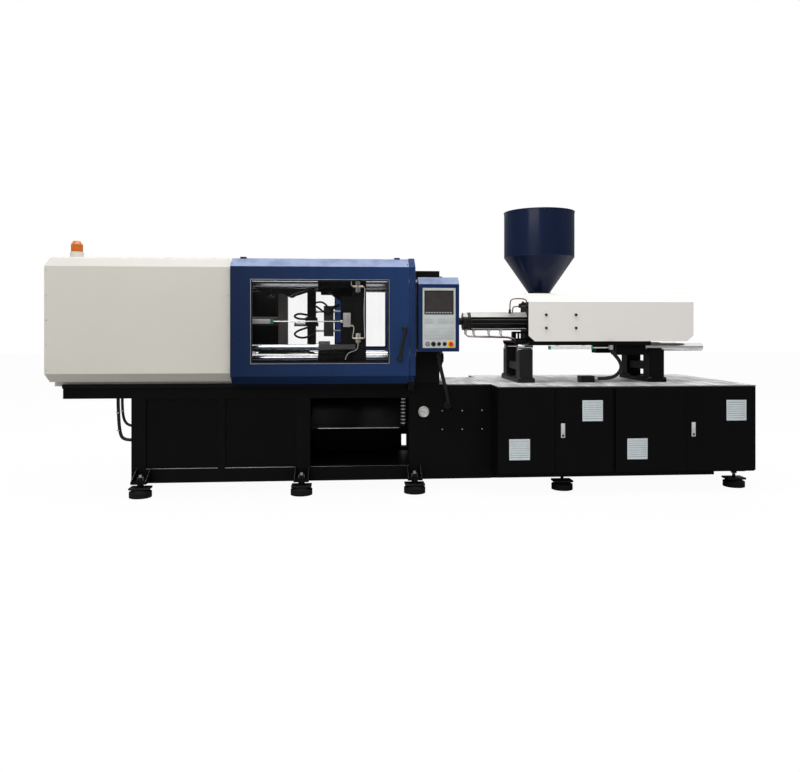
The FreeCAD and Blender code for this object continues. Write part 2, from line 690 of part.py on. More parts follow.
def prism(name, axis, x, y, z, sides, radius, length, spin=0):
    """A regular prism that starts at a point and runs along +axis."""
    obj = doc.addObject("Part::Prism", name)
    obj.Polygon = sides
    turn = TURNS[axis].multiply(FreeCAD.Rotation(FreeCAD.Vector(0, 0, 1), spin))
    obj.Placement = FreeCAD.Placement(FreeCAD.Vector(), turn)
    bind(obj, Circumradius=radius, Height=length)
    place(obj, x, y, z)
    return obj


def fuse(name, *shapes):
    """The union of some shapes."""
    obj = doc.addObject("Part::MultiFuse", name)
    obj.Shapes = list(shapes)
    return obj


def cut(name, base, *tools):
    """A shape less one or more others."""
    tool = tools[0] if len(tools) == 1 else fuse(name + "_tools", *tools)
    obj = doc.addObject("Part::Cut", name)
    obj.Base = base
    obj.Tool = tool
    return obj


def group(name, *shapes):
    """Separate solids kept together."""
    obj = doc.addObject("Part::Compound", name)
    obj.Links = list(shapes)
    return obj


def mirror(name, source):
    """The copy of a shape on the other side of the centre plane."""
    obj = doc.addObject("Part::Mirroring", name)
    obj.Source = source
    obj.Normal = FreeCAD.Vector(0, 1, 0)
    return obj


def flip(name, source):
    """The copy of a shape on the other side of the level plane through the axis."""
    obj = doc.addObject("Part::Mirroring", name)
    obj.Source = source
    obj.Normal = FreeCAD.Vector(0, 0, 1)
    obj.setExpression("Base.z", D.axis_height.text)
    return obj


def both_sides(name, source):
    """A shape and its mirror copy, as two solids."""
    return group(name, source, mirror(name + "_mirror", source))


def pad(name, axis, start, end, points):
    """A sketched outline drawn from one value on an axis to a higher one.

    Outlines across X give (y, z), across Y give (x, z) and across Z give (x, y).
    """
    body = doc.addObject("PartDesign::Body", name)
    plane = [f for f in body.Origin.OriginFeatures if f.Role == PLANES[axis]][0]
    sketch = body.newObject("Sketcher::SketchObject", name + "_sketch")
    sketch.AttachmentSupport = [(plane, "")]
    sketch.MapMode = "FlatFace"
    points = [(dim(a), dim(b)) for a, b in points]
    count = len(points)
    for i in range(count):
        first = FreeCAD.Vector(points[i][0].value, points[i][1].value, 0)
        last = FreeCAD.Vector(points[(i + 1) % count][0].value, points[(i + 1) % count][1].value, 0)
        sketch.addGeometry(Part.LineSegment(first, last), False)
    for i in range(count):
        sketch.addConstraint(Sketcher.Constraint("Coincident", i, 2, (i + 1) % count, 1))
    for i in range(count):
        for kind, value in zip(("DistanceX", "DistanceY"), points[i]):
            rule = sketch.addConstraint(Sketcher.Constraint(kind, -1, 1, i, 1, value.value))
            sketch.setExpression("Constraints[%d]" % rule, value.text)
    offset = -dim(end) if axis == "y" else dim(start)
    sketch.setExpression("AttachmentOffset.Base.z", offset.text)
    solid = body.newObject("PartDesign::Pad", name + "_pad")
    solid.Profile = sketch
    solid.setExpression("Length", (dim(end) - start).text)
    return body


def hose(name, points, radius):
    """A round hose through straight runs joined by tangent arcs."""
    spots = [FreeCAD.Vector(*[dim(value).value for value in point]) for point in points]
    edges = []
    radii = []
    start = spots[0]
    for before, corner, after in zip(spots, spots[1:], spots[2:]):
        back = (before - corner).normalize()
        ahead = (after - corner).normalize()
        half = (math.pi - back.getAngle(ahead)) / 2
        setback = 0.45 * min((before - corner).Length, (after - corner).Length)
        bend = setback / math.tan(half)
        middle = corner + (back + ahead).normalize() * (bend / math.cos(half) - bend)
        first = corner + back * setback
        last = corner + ahead * setback
        edges.append(Part.LineSegment(start, first).toShape())
        edges.append(Part.Arc(first, middle, last).toShape())
        radii.append(round(bend, 1))
        start = last
    edges.append(Part.LineSegment(start, spots[-1]).toShape())
    total = sum(edge.Length for edge in edges)
    ring = Part.Wire(Part.makeCircle(radius.value, spots[0], spots[1] - spots[0]))
    obj = doc.addObject("Part::Feature", name)
    obj.Shape = Part.Wire(edges).makePipeShell([ring], True, False)
    ideal = math.pi * radius.value ** 2 * total
    print("%s: bend radii %s, volume %.0f of %.0f" % (name, radii, obj.Shape.Volume, ideal))
    return obj


def node(label, obj):
    """Register an object as the piece of that name."""
    obj.Label = label
    NODES.append((label, obj))
    return obj


A = D.axis_height
FRONT = -1
REAR = 1
OVER = 1  # how far a cutting shape passes the wall that it cuts
HEX = 6
GUARD_SIDES = 8
VENT_SLOTS = 8
CONTACTORS = 4
WEB_SLOTS = 3

# ---------------------------------------------------------------------------
# Clamp frame
# ---------------------------------------------------------------------------
PANEL_SPANS = ((D.panel_1_left, D.panel_1_right), (D.panel_2_left, D.panel_2_right))
frame = box("frame_block", D.frame_left, D.frame_split, -D.frame_half, D.frame_half, D.frame_bottom,
            D.deck_level)
frame_cuts = [
    box("frame_void", D.void_left, D.void_right, -D.inner_half, D.inner_half, D.void_bottom, D.void_top),
    box("frame_void_2", D.void_2_left, D.void_2_right, -D.inner_half, D.inner_half, D.void_bottom,
        D.panel_top),
    box("drop_bay", D.drop_left, D.drop_bay_right, -D.inner_half, D.inner_half, D.drop_bottom, D.drop_top),
    box("drop_window", D.drop_left, D.drop_right, -D.frame_half - OVER, -D.inner_half, D.drop_bottom,
        D.drop_top),
    box("drop_throat", D.drop_left, D.drop_right, -D.throat_half, D.throat_half, D.drop_top,
        D.deck_level + OVER),
    box("rear_slot", D.slot_left, D.slot_right, D.inner_half, D.frame_half + OVER, D.slot_bottom,
        D.slot_top),
    box("deck_recess", D.deck_left, D.frame_split + OVER, -D.frame_half - OVER, D.frame_half + OVER,
        D.deck_level - D.deck_sheet, D.deck_level + OVER),
]
for number, (left, right) in enumerate(PANEL_SPANS, 1):
    frame_cuts.append(box("window_front_%d" % number, left, right, -D.frame_half - OVER, -D.inner_half,
                          D.panel_bottom, D.panel_top))
    frame_cuts.append(box("window_rear_%d" % number, left, right, D.inner_half, D.frame_half + OVER,
                          D.panel_bottom, D.panel_top))
frame_extras = [
    box("cantilever_front", D.cantilever_left, D.frame_left, -D.frame_half, -D.cantilever_inner,
        D.cantilever_bottom, D.deck_level),
    box("cantilever_rear", D.cantilever_left, D.frame_left, D.cantilever_inner, D.frame_half,
        D.cantilever_bottom, D.deck_level),
    box("cantilever_end", D.cantilever_left, D.cantilever_left + D.end_beam, -D.cantilever_inner,
        D.cantilever_inner, D.cantilever_bottom, D.deck_level),
]
for side, sign in (("front", FRONT), ("rear", REAR)):
    near = D.slideway_inner if sign > 0 else -D.slideway_outer
    frame_extras.append(box("slideway_" + side, D.slideway_left, D.slideway_right, near,
                            near + D.slideway_outer - D.slideway_inner, D.deck_level,
                            D.deck_level + D.slideway_height))
for number, foot_x in enumerate((D.foot_1_x, D.foot_2_x, D.foot_3_x), 1):
    plate = box("bracket_plate_%d" % number, foot_x - D.bracket_half, foot_x + D.bracket_half,
                D.frame_half, D.bracket_outer, D.bracket_bottom, D.bracket_bottom + D.bracket_plate)
    hole = cylinder("bracket_hole_%d" % number, "z", foot_x, D.foot_y, D.bracket_bottom - OVER, D.stud_hole,
                    D.bracket_plate + 2 * OVER)
    ribs = []
    base_z = D.bracket_bottom + D.bracket_plate
    rib_outline = [(D.frame_half, base_z), (D.bracket_outer, base_z), (D.frame_half, base_z + D.rib_height)]
    for end, rib_x in (("a", foot_x - D.bracket_half), ("b", foot_x + D.bracket_half - D.rib_sheet)):
        ribs.append(pad("bracket_rib_%d%s" % (number, end), "x", rib_x, rib_x + D.rib_sheet, rib_outline))
    bracket = fuse("bracket_%d" % number, cut("bracket_bored_%d" % number, plate, hole), *ribs)
    frame_extras.append(bracket)
    frame_extras.append(mirror("bracket_rear_%d" % number, bracket))
node("clamp_base", fuse("clamp_base_shape", cut("frame_cut", frame, *frame_cuts), *frame_extras))

panels = []
for number, (left, right) in enumerate(PANEL_SPANS, 1):
    front = box("panel_front_%d" % number, left, right, -D.panel_outer, -D.panel_inner, D.panel_bottom,
                D.panel_top)
    panels.append(front)
    panels.append(mirror("panel_rear_%d" % number, front))
panels.append(box("access_plate", D.access_left, D.access_right, -D.frame_half - D.access_sheet,
                  -D.frame_half, D.access_bottom, D.access_top))
node("base_panels", group("base_panels_group", *panels))
node("pressure_gauge", cylinder("gauge_case", "y", D.gauge_x, -D.frame_half - D.gauge_depth, D.gauge_z,
                                D.gauge_radius, D.gauge_depth))

chute_outline = [(-D.frame_half, D.chute_front), (D.inner_half, D.chute_back),
                 (D.inner_half, D.chute_back + D.chute_sheet),
                 (-D.frame_half, D.chute_front + D.chute_sheet)]
node("product_chute", pad("chute", "x", D.drop_left, D.drop_right, chute_outline))

# ---------------------------------------------------------------------------
# Levelling feet
# ---------------------------------------------------------------------------
feet = []
clamp_spots = [(x, sign * D.foot_y) for x in (D.foot_1_x, D.foot_2_x, D.foot_3_x) for sign in (FRONT, REAR)]
cabinet_spots = [(x, sign * D.cabinet_foot_y) for x in (D.foot_4_x, D.foot_5_x) for sign in (FRONT, REAR)]
for number, (foot_x, foot_y) in enumerate(clamp_spots + cabinet_spots, 1):
    on_clamp = number <= len(clamp_spots)
    top = D.stud_top if on_clamp else D.plinth_bottom
    stop = D.bracket_bottom if on_clamp else D.plinth_bottom
    pieces = [
        cylinder("pad_%d" % number, "z", foot_x, foot_y, 0, D.pad_radius, D.pad_height),
        cone("pad_cone_%d" % number, "z", foot_x, foot_y, D.pad_height, D.pad_radius, D.pad_cone,
             D.cone_height),
        cylinder("stud_%d" % number, "z", foot_x, foot_y, D.pad_height, D.stud_radius, top - D.pad_height),
        prism("nut_low_%d" % number, "z", foot_x, foot_y, stop - D.nut_height, HEX, D.nut_radius,
              D.nut_height),
    ]
    if on_clamp:
        pieces.append(prism("nut_high_%d" % number, "z", foot_x, foot_y, D.bracket_bottom + D.bracket_plate,
                            HEX, D.nut_radius, D.nut_height))
    feet.append(fuse("foot_%d" % number, *pieces))
node("levelling_feet", group("levelling_feet_group", *feet))

# ---------------------------------------------------------------------------
# Cabinet under the injection unit
# ---------------------------------------------------------------------------
door_back = D.cabinet_half - D.door_depth
body_front = door_back - D.door_gap
shell = box("cabinet_block", D.frame_split, D.cabinet_right, -body_front, D.cabinet_half,
            D.cabinet_bottom, D.deck_level - D.deck_sheet)
plinth = box("plinth", D.frame_split, D.plinth_right, -(D.cabinet_half - D.back_wall),
             (D.cabinet_half - D.back_wall), D.plinth_bottom, D.cabinet_bottom)
cabinet_pieces = [shell, plinth]
for side, sign in (("front", FRONT), ("rear", REAR)):
    middle = sign * D.cabinet_foot_y
    cabinet_pieces.append(box("foot_block_" + side, D.foot_5_x - D.foot_block, D.foot_5_x + D.foot_block,
                              middle - D.foot_block, middle + D.foot_block, D.plinth_bottom,
                              D.cabinet_bottom))
DOORS = [
    ("cabinet_door_1", D.frame_split, D.seam_1 - D.half_seam, "left", D.frame_split + D.vent_1_in,
     D.vent_1_z, None),
    ("cabinet_door_2", D.seam_1 + D.half_seam, D.pair_1_right, "right", D.pair_1_right - D.vent_2_in,
     D.vent_2_z, D.seam_1 + D.latch_in),
    ("cabinet_door_3", D.pair_2_left, D.seam_2 - D.half_seam, "left", D.pair_2_left + D.vent_3_in,
     D.vent_3_z, None),
    ("cabinet_door_4", D.seam_2 + D.half_seam, D.cabinet_right, "right", D.cabinet_right - D.vent_4_in,
     D.vent_4_z, D.seam_2 + D.latch_in),
]
for label, left, right, hinge, vent_x, vent_z, latch_x in DOORS:
    free = right - D.buffer_inset if hinge == "left" else left + D.buffer_inset
    for end, height in (("low", D.door_bottom + D.door_rim / 2), ("high", D.door_top - D.door_rim / 2)):
        cabinet_pieces.append(cylinder("%s_buffer_%s" % (label, end), "y", free, -door_back + D.seat_gap,
                                       height, D.buffer_radius, door_back - D.seat_gap - body_front))
bays = [
    box("bay_1", D.bay_1_left, D.bay_1_right, -body_front - OVER, D.bay_1_back, D.bay_bottom, D.bay_top),
    box("bay_2", D.bay_2_left, D.bay_2_right, -body_front - OVER, D.bay_2_back, D.bay_bottom, D.bay_top),
    box("bay_3", D.bay_1_left, D.bay_1_right, D.bay_3_front, D.cabinet_half - D.back_wall, D.bay_bottom,
        D.bay_top),
]
node("injection_base", cut("cabinet", fuse("cabinet_fuse", *cabinet_pieces), *bays))

node("deck_plate", fuse(
    "deck_plate_shape",
    box("deck_narrow", D.deck_left, D.frame_split, -D.frame_half, D.frame_half, D.deck_level - D.deck_sheet,
        D.deck_level),
    box("deck_wide", D.frame_split, D.cabinet_right, -D.cabinet_half, D.cabinet_half,
        D.deck_level - D.deck_sheet, D.deck_level)))

for label, left, right, hinge, vent_x, vent_z, latch_x in DOORS:
    front = -D.cabinet_half
    back = -door_back
    body_left = left + D.door_round if hinge == "left" else left
    body_right = right if hinge == "left" else right - D.door_round
    axis_x = left + D.door_round if hinge == "left" else right - D.door_round
    height = D.door_top - D.door_bottom
    pieces = [
        box(label + "_slab", body_left, body_right, front, back, D.door_bottom, D.door_top),
        box(label + "_edge", left, right, front + D.door_round, back, D.door_bottom, D.door_top),
        cylinder(label + "_round", "z", axis_x, front + D.door_round, D.door_bottom, D.door_round, height),
    ]
    vent = box(label + "_vent", vent_x - D.vent_half, vent_x + D.vent_half, front - D.vent_proud, front,
               vent_z - D.vent_half, vent_z + D.vent_half)
    pieces.append(vent)
    if latch_x is not None:
        pieces.append(box(label + "_latch", latch_x - D.latch_half, latch_x + D.latch_half,
                          front - D.latch_proud, front, D.latch_z, D.latch_z + D.latch_height))
    inner = D.vent_half - D.vent_frame
    holes = [
        box(label + "_pocket", left + D.door_rim, right - D.door_rim, front + D.door_sheet, back + OVER,
            D.door_bottom + D.door_rim, D.door_top - D.door_rim),
        box(label + "_dish", vent_x - inner, vent_x + inner, front - D.vent_proud - OVER, front,
            vent_z - inner, vent_z + inner),
    ]
    for slot in range(VENT_SLOTS):
        slot_z = vent_z + (slot - (VENT_SLOTS - 1) / 2) * D.vent_pitch
        holes.append(box("%s_slot_%d" % (label, slot), vent_x - inner + D.vent_margin,
                         vent_x + inner - D.vent_margin, front - OVER,
                         front + D.door_sheet + OVER, slot_z - D.vent_slot / 2, slot_z + D.vent_slot / 2))
    node(label, cut(label + "_shape", fuse(label + "_fuse", *pieces), *holes))

gear_front = D.bay_1_back - D.gear_sheet
gear = [
    box("gear_plate", D.gear_left, D.gear_right, gear_front, D.bay_1_back, D.gear_bottom, D.gear_top),
    box("gear_drive", D.drive_left, D.drive_left + D.drive_width, gear_front - D.drive_depth, gear_front,
        D.drive_bottom, D.drive_bottom + D.drive_height),
    box("gear_supply", D.supply_left, D.supply_left + D.supply_width, gear_front - D.supply_depth,
        gear_front, D.drive_bottom, D.drive_bottom + D.drive_height),
]
for level, low in (("low", D.contactor_low), ("high", D.contactor_high)):
    for place_number in range(CONTACTORS):
        start = D.contactor_left + place_number * D.contactor_pitch
        gear.append(box("contactor_%s_%d" % (level, place_number), start, start + D.contactor_width,
                        gear_front - D.contactor_depth, gear_front, low, low + D.contactor_height))
node("switchgear", fuse("switchgear_shape", *gear))

motor = fuse(
    "pump_set",
    cylinder("pump_motor", "y", D.motor_x, D.motor_front, D.motor_z, D.motor_radius, D.motor_length),
    cylinder("pump", "y", D.motor_x, D.motor_front + D.motor_length, D.motor_z, D.pump_radius,
             D.pump_length),
    box("pump_stand", D.motor_x - D.stand_half, D.motor_x + D.stand_half, D.motor_front + D.stand_inset,
        D.motor_front + D.motor_length - D.stand_inset, D.bay_bottom, D.motor_z))
node("hydraulic_unit", group(
    "hydraulic_group", motor,
    box("oil_tank", D.tank_left, D.tank_right, D.tank_front, D.tank_back, D.bay_bottom, D.tank_top),
    box("valve_block", D.manifold_left, D.manifold_right, D.manifold_front, D.manifold_back, D.deck_level,
        D.deck_level + D.manifold_height)))

# ---------------------------------------------------------------------------
# Platens and tie bars
# ---------------------------------------------------------------------------
CORNERS = [(sy * D.tie_offset, A + sz * D.tie_offset) for sy in (FRONT, REAR) for sz in (-1, 1)]


def mould_holes(name, face, direction):
    """Blind mould holes that start at a platen's face."""
    holes = []
    start = face - OVER if direction > 0 else face - D.bolt_depth
    for i, (dy, dz) in enumerate(((D.bolt_wide, D.bolt_narrow), (D.bolt_narrow, D.bolt_wide))):
        for sy in (-1, 1):
            for sz in (-1, 1):
                holes.append(cylinder("%s_%d_%d_%d" % (name, i, sy + 1, sz + 1), "x", start, sy * dy,
                                      A + sz * dz, D.bolt_radius, D.bolt_depth + OVER))
    return holes


fixed = [
    box("fixed_plate", D.fixed_left, D.fixed_right, -D.platen_half, D.platen_half,
        A - D.platen_half_z, A + D.platen_half_z),
    box("fixed_foot_front", D.fixed_left, D.fixed_right, -D.platen_half, -D.foot_inner, D.deck_level,
        A - D.platen_half_z),
    box("fixed_foot_rear", D.fixed_left, D.fixed_right, D.foot_inner, D.platen_half, D.deck_level,
        A - D.platen_half_z),
    box("fixed_boss", D.boss_left, D.boss_right, D.box_back, -D.platen_half, D.boss_bottom, D.boss_top),
]
thick = D.fixed_right - D.fixed_left
fixed_cuts = [
    cylinder("nozzle_passage", "x", D.fixed_left - OVER, 0, A, D.nozzle_hole, thick),
    cylinder("nozzle_recess", "x", D.pocket_left, 0, A, D.nozzle_pocket, thick),
    cylinder("locating_bore", "x", D.fixed_left - OVER, 0, A, D.locating_radius, D.locating_depth + OVER),
]
fixed_cuts += [cylinder("fixed_tie_bore_%d" % i, "x", D.fixed_left - OVER, y, z, D.tie_radius + D.close_fit,
                        thick + 2 * OVER)
               for i, (y, z) in enumerate(CORNERS)]
fixed_cuts += mould_holes("fixed_mould_hole", D.fixed_left, 1)
node("fixed_platen", cut("fixed_platen_shape", fuse("fixed_fuse", *fixed), *fixed_cuts))

bars = []
for i, (y, z) in enumerate(CORNERS):
    bars.append(cylinder("tie_bar_%d" % i, "x", D.tie_left, y, z, D.tie_radius, D.tie_right - D.tie_left))
    bars.append(cut("tie_nut_%d" % i,
                    prism("tie_nut_hex_%d" % i, "x", D.fixed_right, y, z, HEX, D.nut_corner, D.tie_nut),
                    cylinder("tie_nut_bore_%d" % i, "x", D.fixed_right - OVER, y, z,
                             D.tie_radius + D.close_fit, D.tie_nut + 2 * OVER)))
node("tie_bars", group("tie_bars_group", *bars))

# toggle pins, measured from the front pins
reach = D.link_length * cosd(D.fold_angle)
fold = D.link_length * sind(D.fold_angle)
FRONT_PIN = (D.front_pin_x, A + D.pin_rise)
KNEE = (D.front_pin_x - reach, A + D.pin_rise - fold)
REAR_PIN = (D.front_pin_x - reach - reach, A + D.pin_rise)
arm_x = D.arm_length * cosd(D.fold_angle + D.arm_angle)
arm_z = D.arm_length * sind(D.fold_angle + D.arm_angle)
ARM_PIN = (REAR_PIN[0] + arm_x, A + D.pin_rise - arm_z)
HEAD_PIN = (REAR_PIN[0] + arm_x + arm_x, A + D.pin_rise)


def eye(name, spot, low, high, radius):
    """A disc across the machine between two distances from the centre plane."""
    return cylinder(name, "y", spot[0], low, spot[1], radius, high - low)


def bar(name, first, last, low, high, half):
    """A straight bar of constant height between two pins, level or sloping."""
    run = last[0].value - first[0].value
    rise = last[1].value - first[1].value
    length = math.hypot(run, rise)
    body = doc.addObject("Part::Box", name)
    turn = FreeCAD.Rotation(FreeCAD.Vector(0, 1, 0), -math.degrees(math.atan2(rise, run)))
    body.Placement = FreeCAD.Placement(FreeCAD.Vector(), turn)
    bind(body, Length=dim(1) * length, Width=high - low, Height=2 * half)
    across = (-rise / length, run / length)
    place(body, first[0] - half * across[0], low, first[1] - half * across[1])
    return body


tail = [
    box("tail_plate", D.tail_left, D.tail_right, -D.platen_half, D.platen_half,
        A - D.platen_half_z, A + D.platen_half_z),
    box("tail_shoe_front", D.tail_left, D.tail_right, -D.shoe_outer, -D.shoe_inner,
        D.deck_level + D.slideway_height + D.seat_gap, A - D.platen_half_z),
    box("tail_shoe_rear", D.tail_left, D.tail_right, D.shoe_inner, D.shoe_outer,
        D.deck_level + D.slideway_height + D.seat_gap, A - D.platen_half_z),
]
tail_lug = fuse("tail_lug",
                eye("tail_eye", REAR_PIN, D.layer_5, D.layer_8, D.lug_radius),
                box("tail_lug_web", D.tail_right, REAR_PIN[0], D.layer_5, D.layer_8,
                    A + D.pin_rise - D.lug_radius, A + D.pin_rise + D.lug_radius),
                eye("tail_pin", REAR_PIN, D.layer_3, D.layer_8, D.outer_pin))
tail_lug_low = flip("tail_lug_low", tail_lug)
tail += [tail_lug, tail_lug_low, mirror("tail_lug_m", tail_lug), mirror("tail_lug_low_m", tail_lug_low)]
tail_thick = D.tail_right - D.tail_left
tail_cuts = [cylinder("tail_tie_bore_%d" % i, "x", D.tail_left - OVER, y, z, D.tie_radius + D.free_fit,
                      tail_thick + 2 * OVER)
             for i, (y, z) in enumerate(CORNERS)]
tail_cuts.append(cylinder("tail_rod_hole", "x", D.tail_left - OVER, 0, A, D.tail_hole,
                          tail_thick + 2 * OVER))
tail_body = cut("tail_body", fuse("tail_fuse", *tail), *tail_cuts)
nuts = [cut("adjust_nut_%d" % i,
            prism("adjust_hex_%d" % i, "x", D.tail_left - D.adjust_nut, y, z, HEX, D.sleeve_radius,
                  D.adjust_nut),
            cylinder("adjust_bore_%d" % i, "x", D.tail_left - D.adjust_nut - OVER, y, z,
                     D.tie_radius + D.free_fit, D.adjust_nut + 2 * OVER))
        for i, (y, z) in enumerate(CORNERS)]
node("tail_platen", group("tail_platen_group", tail_body, *nuts))

bore_right = D.tail_left - D.gland_wall
node("clamp_cylinder", cut(
    "clamp_cylinder_shape",
    fuse("clamp_cylinder_fuse",
         cylinder("clamp_tube", "x", D.cylinder_left, 0, A, D.cylinder_radius,
                  D.tail_left - D.cylinder_left),
         cylinder("clamp_flange", "x", bore_right, 0, A, D.cylinder_flange, D.gland_wall)),
    cylinder("clamp_bore", "x", D.cylinder_left + D.cylinder_wall, 0, A, D.cylinder_bore,
             bore_right - D.cylinder_left - D.cylinder_wall),
    cylinder("clamp_gland", "x", bore_right - OVER, 0, A, D.rod_radius + D.free_fit,
             D.gland_wall + 2 * OVER)))


def toggle_pair(label, side):
    """Register a link node: the given solid and its mirror copy."""
    node(label, both_sides(label + "_pair", side))


rear_side = cut(
    "rear_link_plate",
    fuse("rear_link_fuse",
         eye("rear_eye_outer", REAR_PIN, D.layer_3, D.layer_4, D.outer_eye),
         eye("rear_eye_knee", KNEE, D.layer_3, D.layer_4, D.knee_eye),
         eye("rear_eye_arm", ARM_PIN, D.layer_3, D.layer_4, D.arm_eye),
         bar("rear_bar", REAR_PIN, KNEE, D.layer_3, D.layer_4, D.link_half),
         bar("rear_arm", REAR_PIN, ARM_PIN, D.layer_3, D.layer_4, D.arm_eye),
         bar("rear_brace", ARM_PIN, KNEE, D.layer_3, D.layer_4, D.arm_eye / 2),
         eye("rear_knee_pin", KNEE, D.layer_3, D.layer_6, D.knee_pin),
         eye("rear_arm_pin", ARM_PIN, D.layer_1, D.layer_4, D.arm_pin)),
    eye("rear_outer_hole", REAR_PIN, D.layer_3 - OVER, D.layer_4 + OVER, D.outer_pin + D.free_fit))
front_side = cut(
    "front_link_plate",
    fuse("front_link_fuse",
         eye("front_eye_outer", FRONT_PIN, D.layer_5, D.layer_6, D.outer_eye),
         eye("front_eye_knee", KNEE, D.layer_5, D.layer_6, D.knee_eye),
         bar("front_bar", KNEE, FRONT_PIN, D.layer_5, D.layer_6, D.link_half)),
    eye("front_outer_hole", FRONT_PIN, D.layer_5 - OVER, D.layer_6 + OVER, D.outer_pin + D.free_fit),
    eye("front_knee_hole", KNEE, D.layer_5 - OVER, D.layer_6 + OVER, D.knee_pin + D.free_fit))
arm_side = cut(
    "crosshead_link_plate",
    fuse("crosshead_link_fuse",
         eye("arm_eye_rear", ARM_PIN, D.layer_1, D.layer_2, D.arm_eye),
         eye("arm_eye_head", HEAD_PIN, D.layer_1, D.layer_2, D.arm_eye),
         bar("arm_bar", ARM_PIN, HEAD_PIN, D.layer_1, D.layer_2, D.arm_pin + D.arm_rim)),
    eye("arm_hole_rear", ARM_PIN, D.layer_1 - OVER, D.layer_2 + OVER, D.arm_pin + D.free_fit),
    eye("arm_hole_head", HEAD_PIN, D.layer_1 - OVER, D.layer_2 + OVER, D.arm_pin + D.free_fit))
toggle_pair("rear_link_upper", rear_side)
toggle_pair("rear_link_lower", flip("rear_low", rear_side))
toggle_pair("front_link_upper", front_side)
toggle_pair("front_link_lower", flip("front_low", front_side))
toggle_pair("crosshead_link_upper", arm_side)
toggle_pair("crosshead_link_lower", flip("arm_low", arm_side))

head_x = HEAD_PIN[0]
low_head = (HEAD_PIN[0], A - D.pin_rise)
node("crosshead", fuse(
    "crosshead_shape",
    box("crosshead_block", head_x - D.crosshead_half, head_x + D.crosshead_half, -D.layer_0, D.layer_0,
        A - D.crosshead_rise, A + D.crosshead_rise),
    eye("crosshead_pin_high", HEAD_PIN, -D.layer_2, D.layer_2, D.arm_pin),
    eye("crosshead_pin_low", low_head, -D.layer_2, D.layer_2, D.arm_pin),
    cylinder("clamp_rod", "x", D.piston_left, 0, A, D.rod_radius, head_x - D.piston_left),
    cylinder("clamp_piston", "x", D.piston_left, 0, A, D.piston_radius, D.piston_length)))

moving = [
    box("moving_plate", D.moving_left, D.moving_right, -D.platen_half, D.platen_half,
        A - D.platen_half_z, A + D.platen_half_z),
    box("moving_centre", D.centre_left, D.moving_left, -D.centre_half, D.centre_half,
        A - D.centre_half, A + D.centre_half),
]
for i, (y, z) in enumerate(CORNERS):
    moving.append(cylinder("sleeve_%d" % i, "x", D.sleeve_left, y, z, D.sleeve_radius,
                           D.moving_left - D.sleeve_left))
for side, near, far in (("front", -D.platen_half, -D.web_inner), ("rear", D.web_inner, D.platen_half)):
    moving.append(box("moving_web_" + side, D.centre_left, D.moving_left, near, far, D.web_bottom,
                      D.web_top))
for side, near, far in (("front", -D.shoe_outer, -D.shoe_inner), ("rear", D.shoe_inner, D.shoe_outer)):
    moving.append(box("moving_shoe_" + side, D.moving_left, D.moving_right, near, far,
                      D.deck_level + D.slideway_height + D.seat_gap, A - D.platen_half_z))
lug_top = A + D.pin_rise + D.lug_radius
lug_outline = [(D.front_pin_x, lug_top), (D.moving_left, lug_top),
               (D.moving_left, A + D.centre_half - D.lug_sink),
               (D.centre_left - D.lug_reach, A + D.centre_half - D.lug_sink),
               (D.front_pin_x - D.lug_tail_x, A + D.pin_rise - D.lug_tail_z)]
lugs = [
    fuse("lug_inner", eye("lug_eye_inner", FRONT_PIN, D.layer_3, D.layer_4, D.lug_radius),
         pad("lug_web_inner", "y", D.layer_3, D.layer_4, lug_outline)),
    fuse("lug_outer", eye("lug_eye_outer", FRONT_PIN, D.layer_7, D.layer_8, D.lug_radius),
         pad("lug_web_outer", "y", D.layer_7, D.layer_8, lug_outline)),
    eye("front_pin", FRONT_PIN, D.layer_3, D.layer_8, D.outer_pin),
]
upper_lug = fuse("upper_lug", *lugs)
lower_lug = flip("lower_lug", upper_lug)
moving += [upper_lug, lower_lug, mirror("upper_lug_m", upper_lug), mirror("lower_lug_m", lower_lug)]
moving_cuts = [cylinder("moving_tie_bore_%d" % i, "x", D.sleeve_left - OVER, y, z,
                        D.tie_radius + D.free_fit, D.moving_right - D.sleeve_left + 2 * OVER)
               for i, (y, z) in enumerate(CORNERS)]
moving_cuts.append(cylinder("ejector_passage", "x", D.centre_left - OVER, 0, A, D.ejector_hole,
                            D.moving_right - D.centre_left + 2 * OVER))
moving_cuts += mould_holes("moving_mould_hole", D.moving_right, -1)
node("moving_platen", cut("moving_platen_shape", fuse("moving_fuse", *moving), *moving_cuts))

# ---------------------------------------------------------------------------
# Ejector, safety bar, lubrication
# ---------------------------------------------------------------------------
GUIDES = [A - D.guide_rise, A + D.guide_rise]
node("ejector_unit", fuse(
    "ejector_unit_shape",
    cut("ejector_post_bored",
        box("ejector_post", D.post_left, D.post_right, -D.post_half, D.post_half, D.yoke_low, D.yoke_high),
        cylinder("ejector_post_hole", "x", D.post_left - OVER, 0, A, D.ejector_rod + D.ejector_ease,
                 D.post_right - D.post_left + 2 * OVER)),
    cylinder("ejector_cap", "x", D.post_left - D.ejector_cap, 0, A, D.cap_radius, D.ejector_cap),
    *[cylinder("ejector_guide_%d" % i, "x", D.post_right, 0, z, D.guide_radius,
               D.centre_left - D.post_right)
      for i, z in enumerate(GUIDES)]))
node("ejector_plate", cut(
    "ejector_plate_shape",
    fuse("ejector_plate_fuse",
         box("ejector_slab", D.plate_left, D.plate_right, -D.post_half, D.post_half,
             A - D.plate_half_z, A + D.plate_half_z),
         cylinder("ejector_rod_bar", "x", D.plate_right, 0, A, D.ejector_rod,
                  D.ejector_tip - D.plate_right)),
    *[cylinder("ejector_guide_hole_%d" % i, "x", D.plate_left - OVER, 0, z, D.guide_radius + D.free_fit,
               D.plate_right - D.plate_left + 2 * OVER) for i, z in enumerate(GUIDES)]))

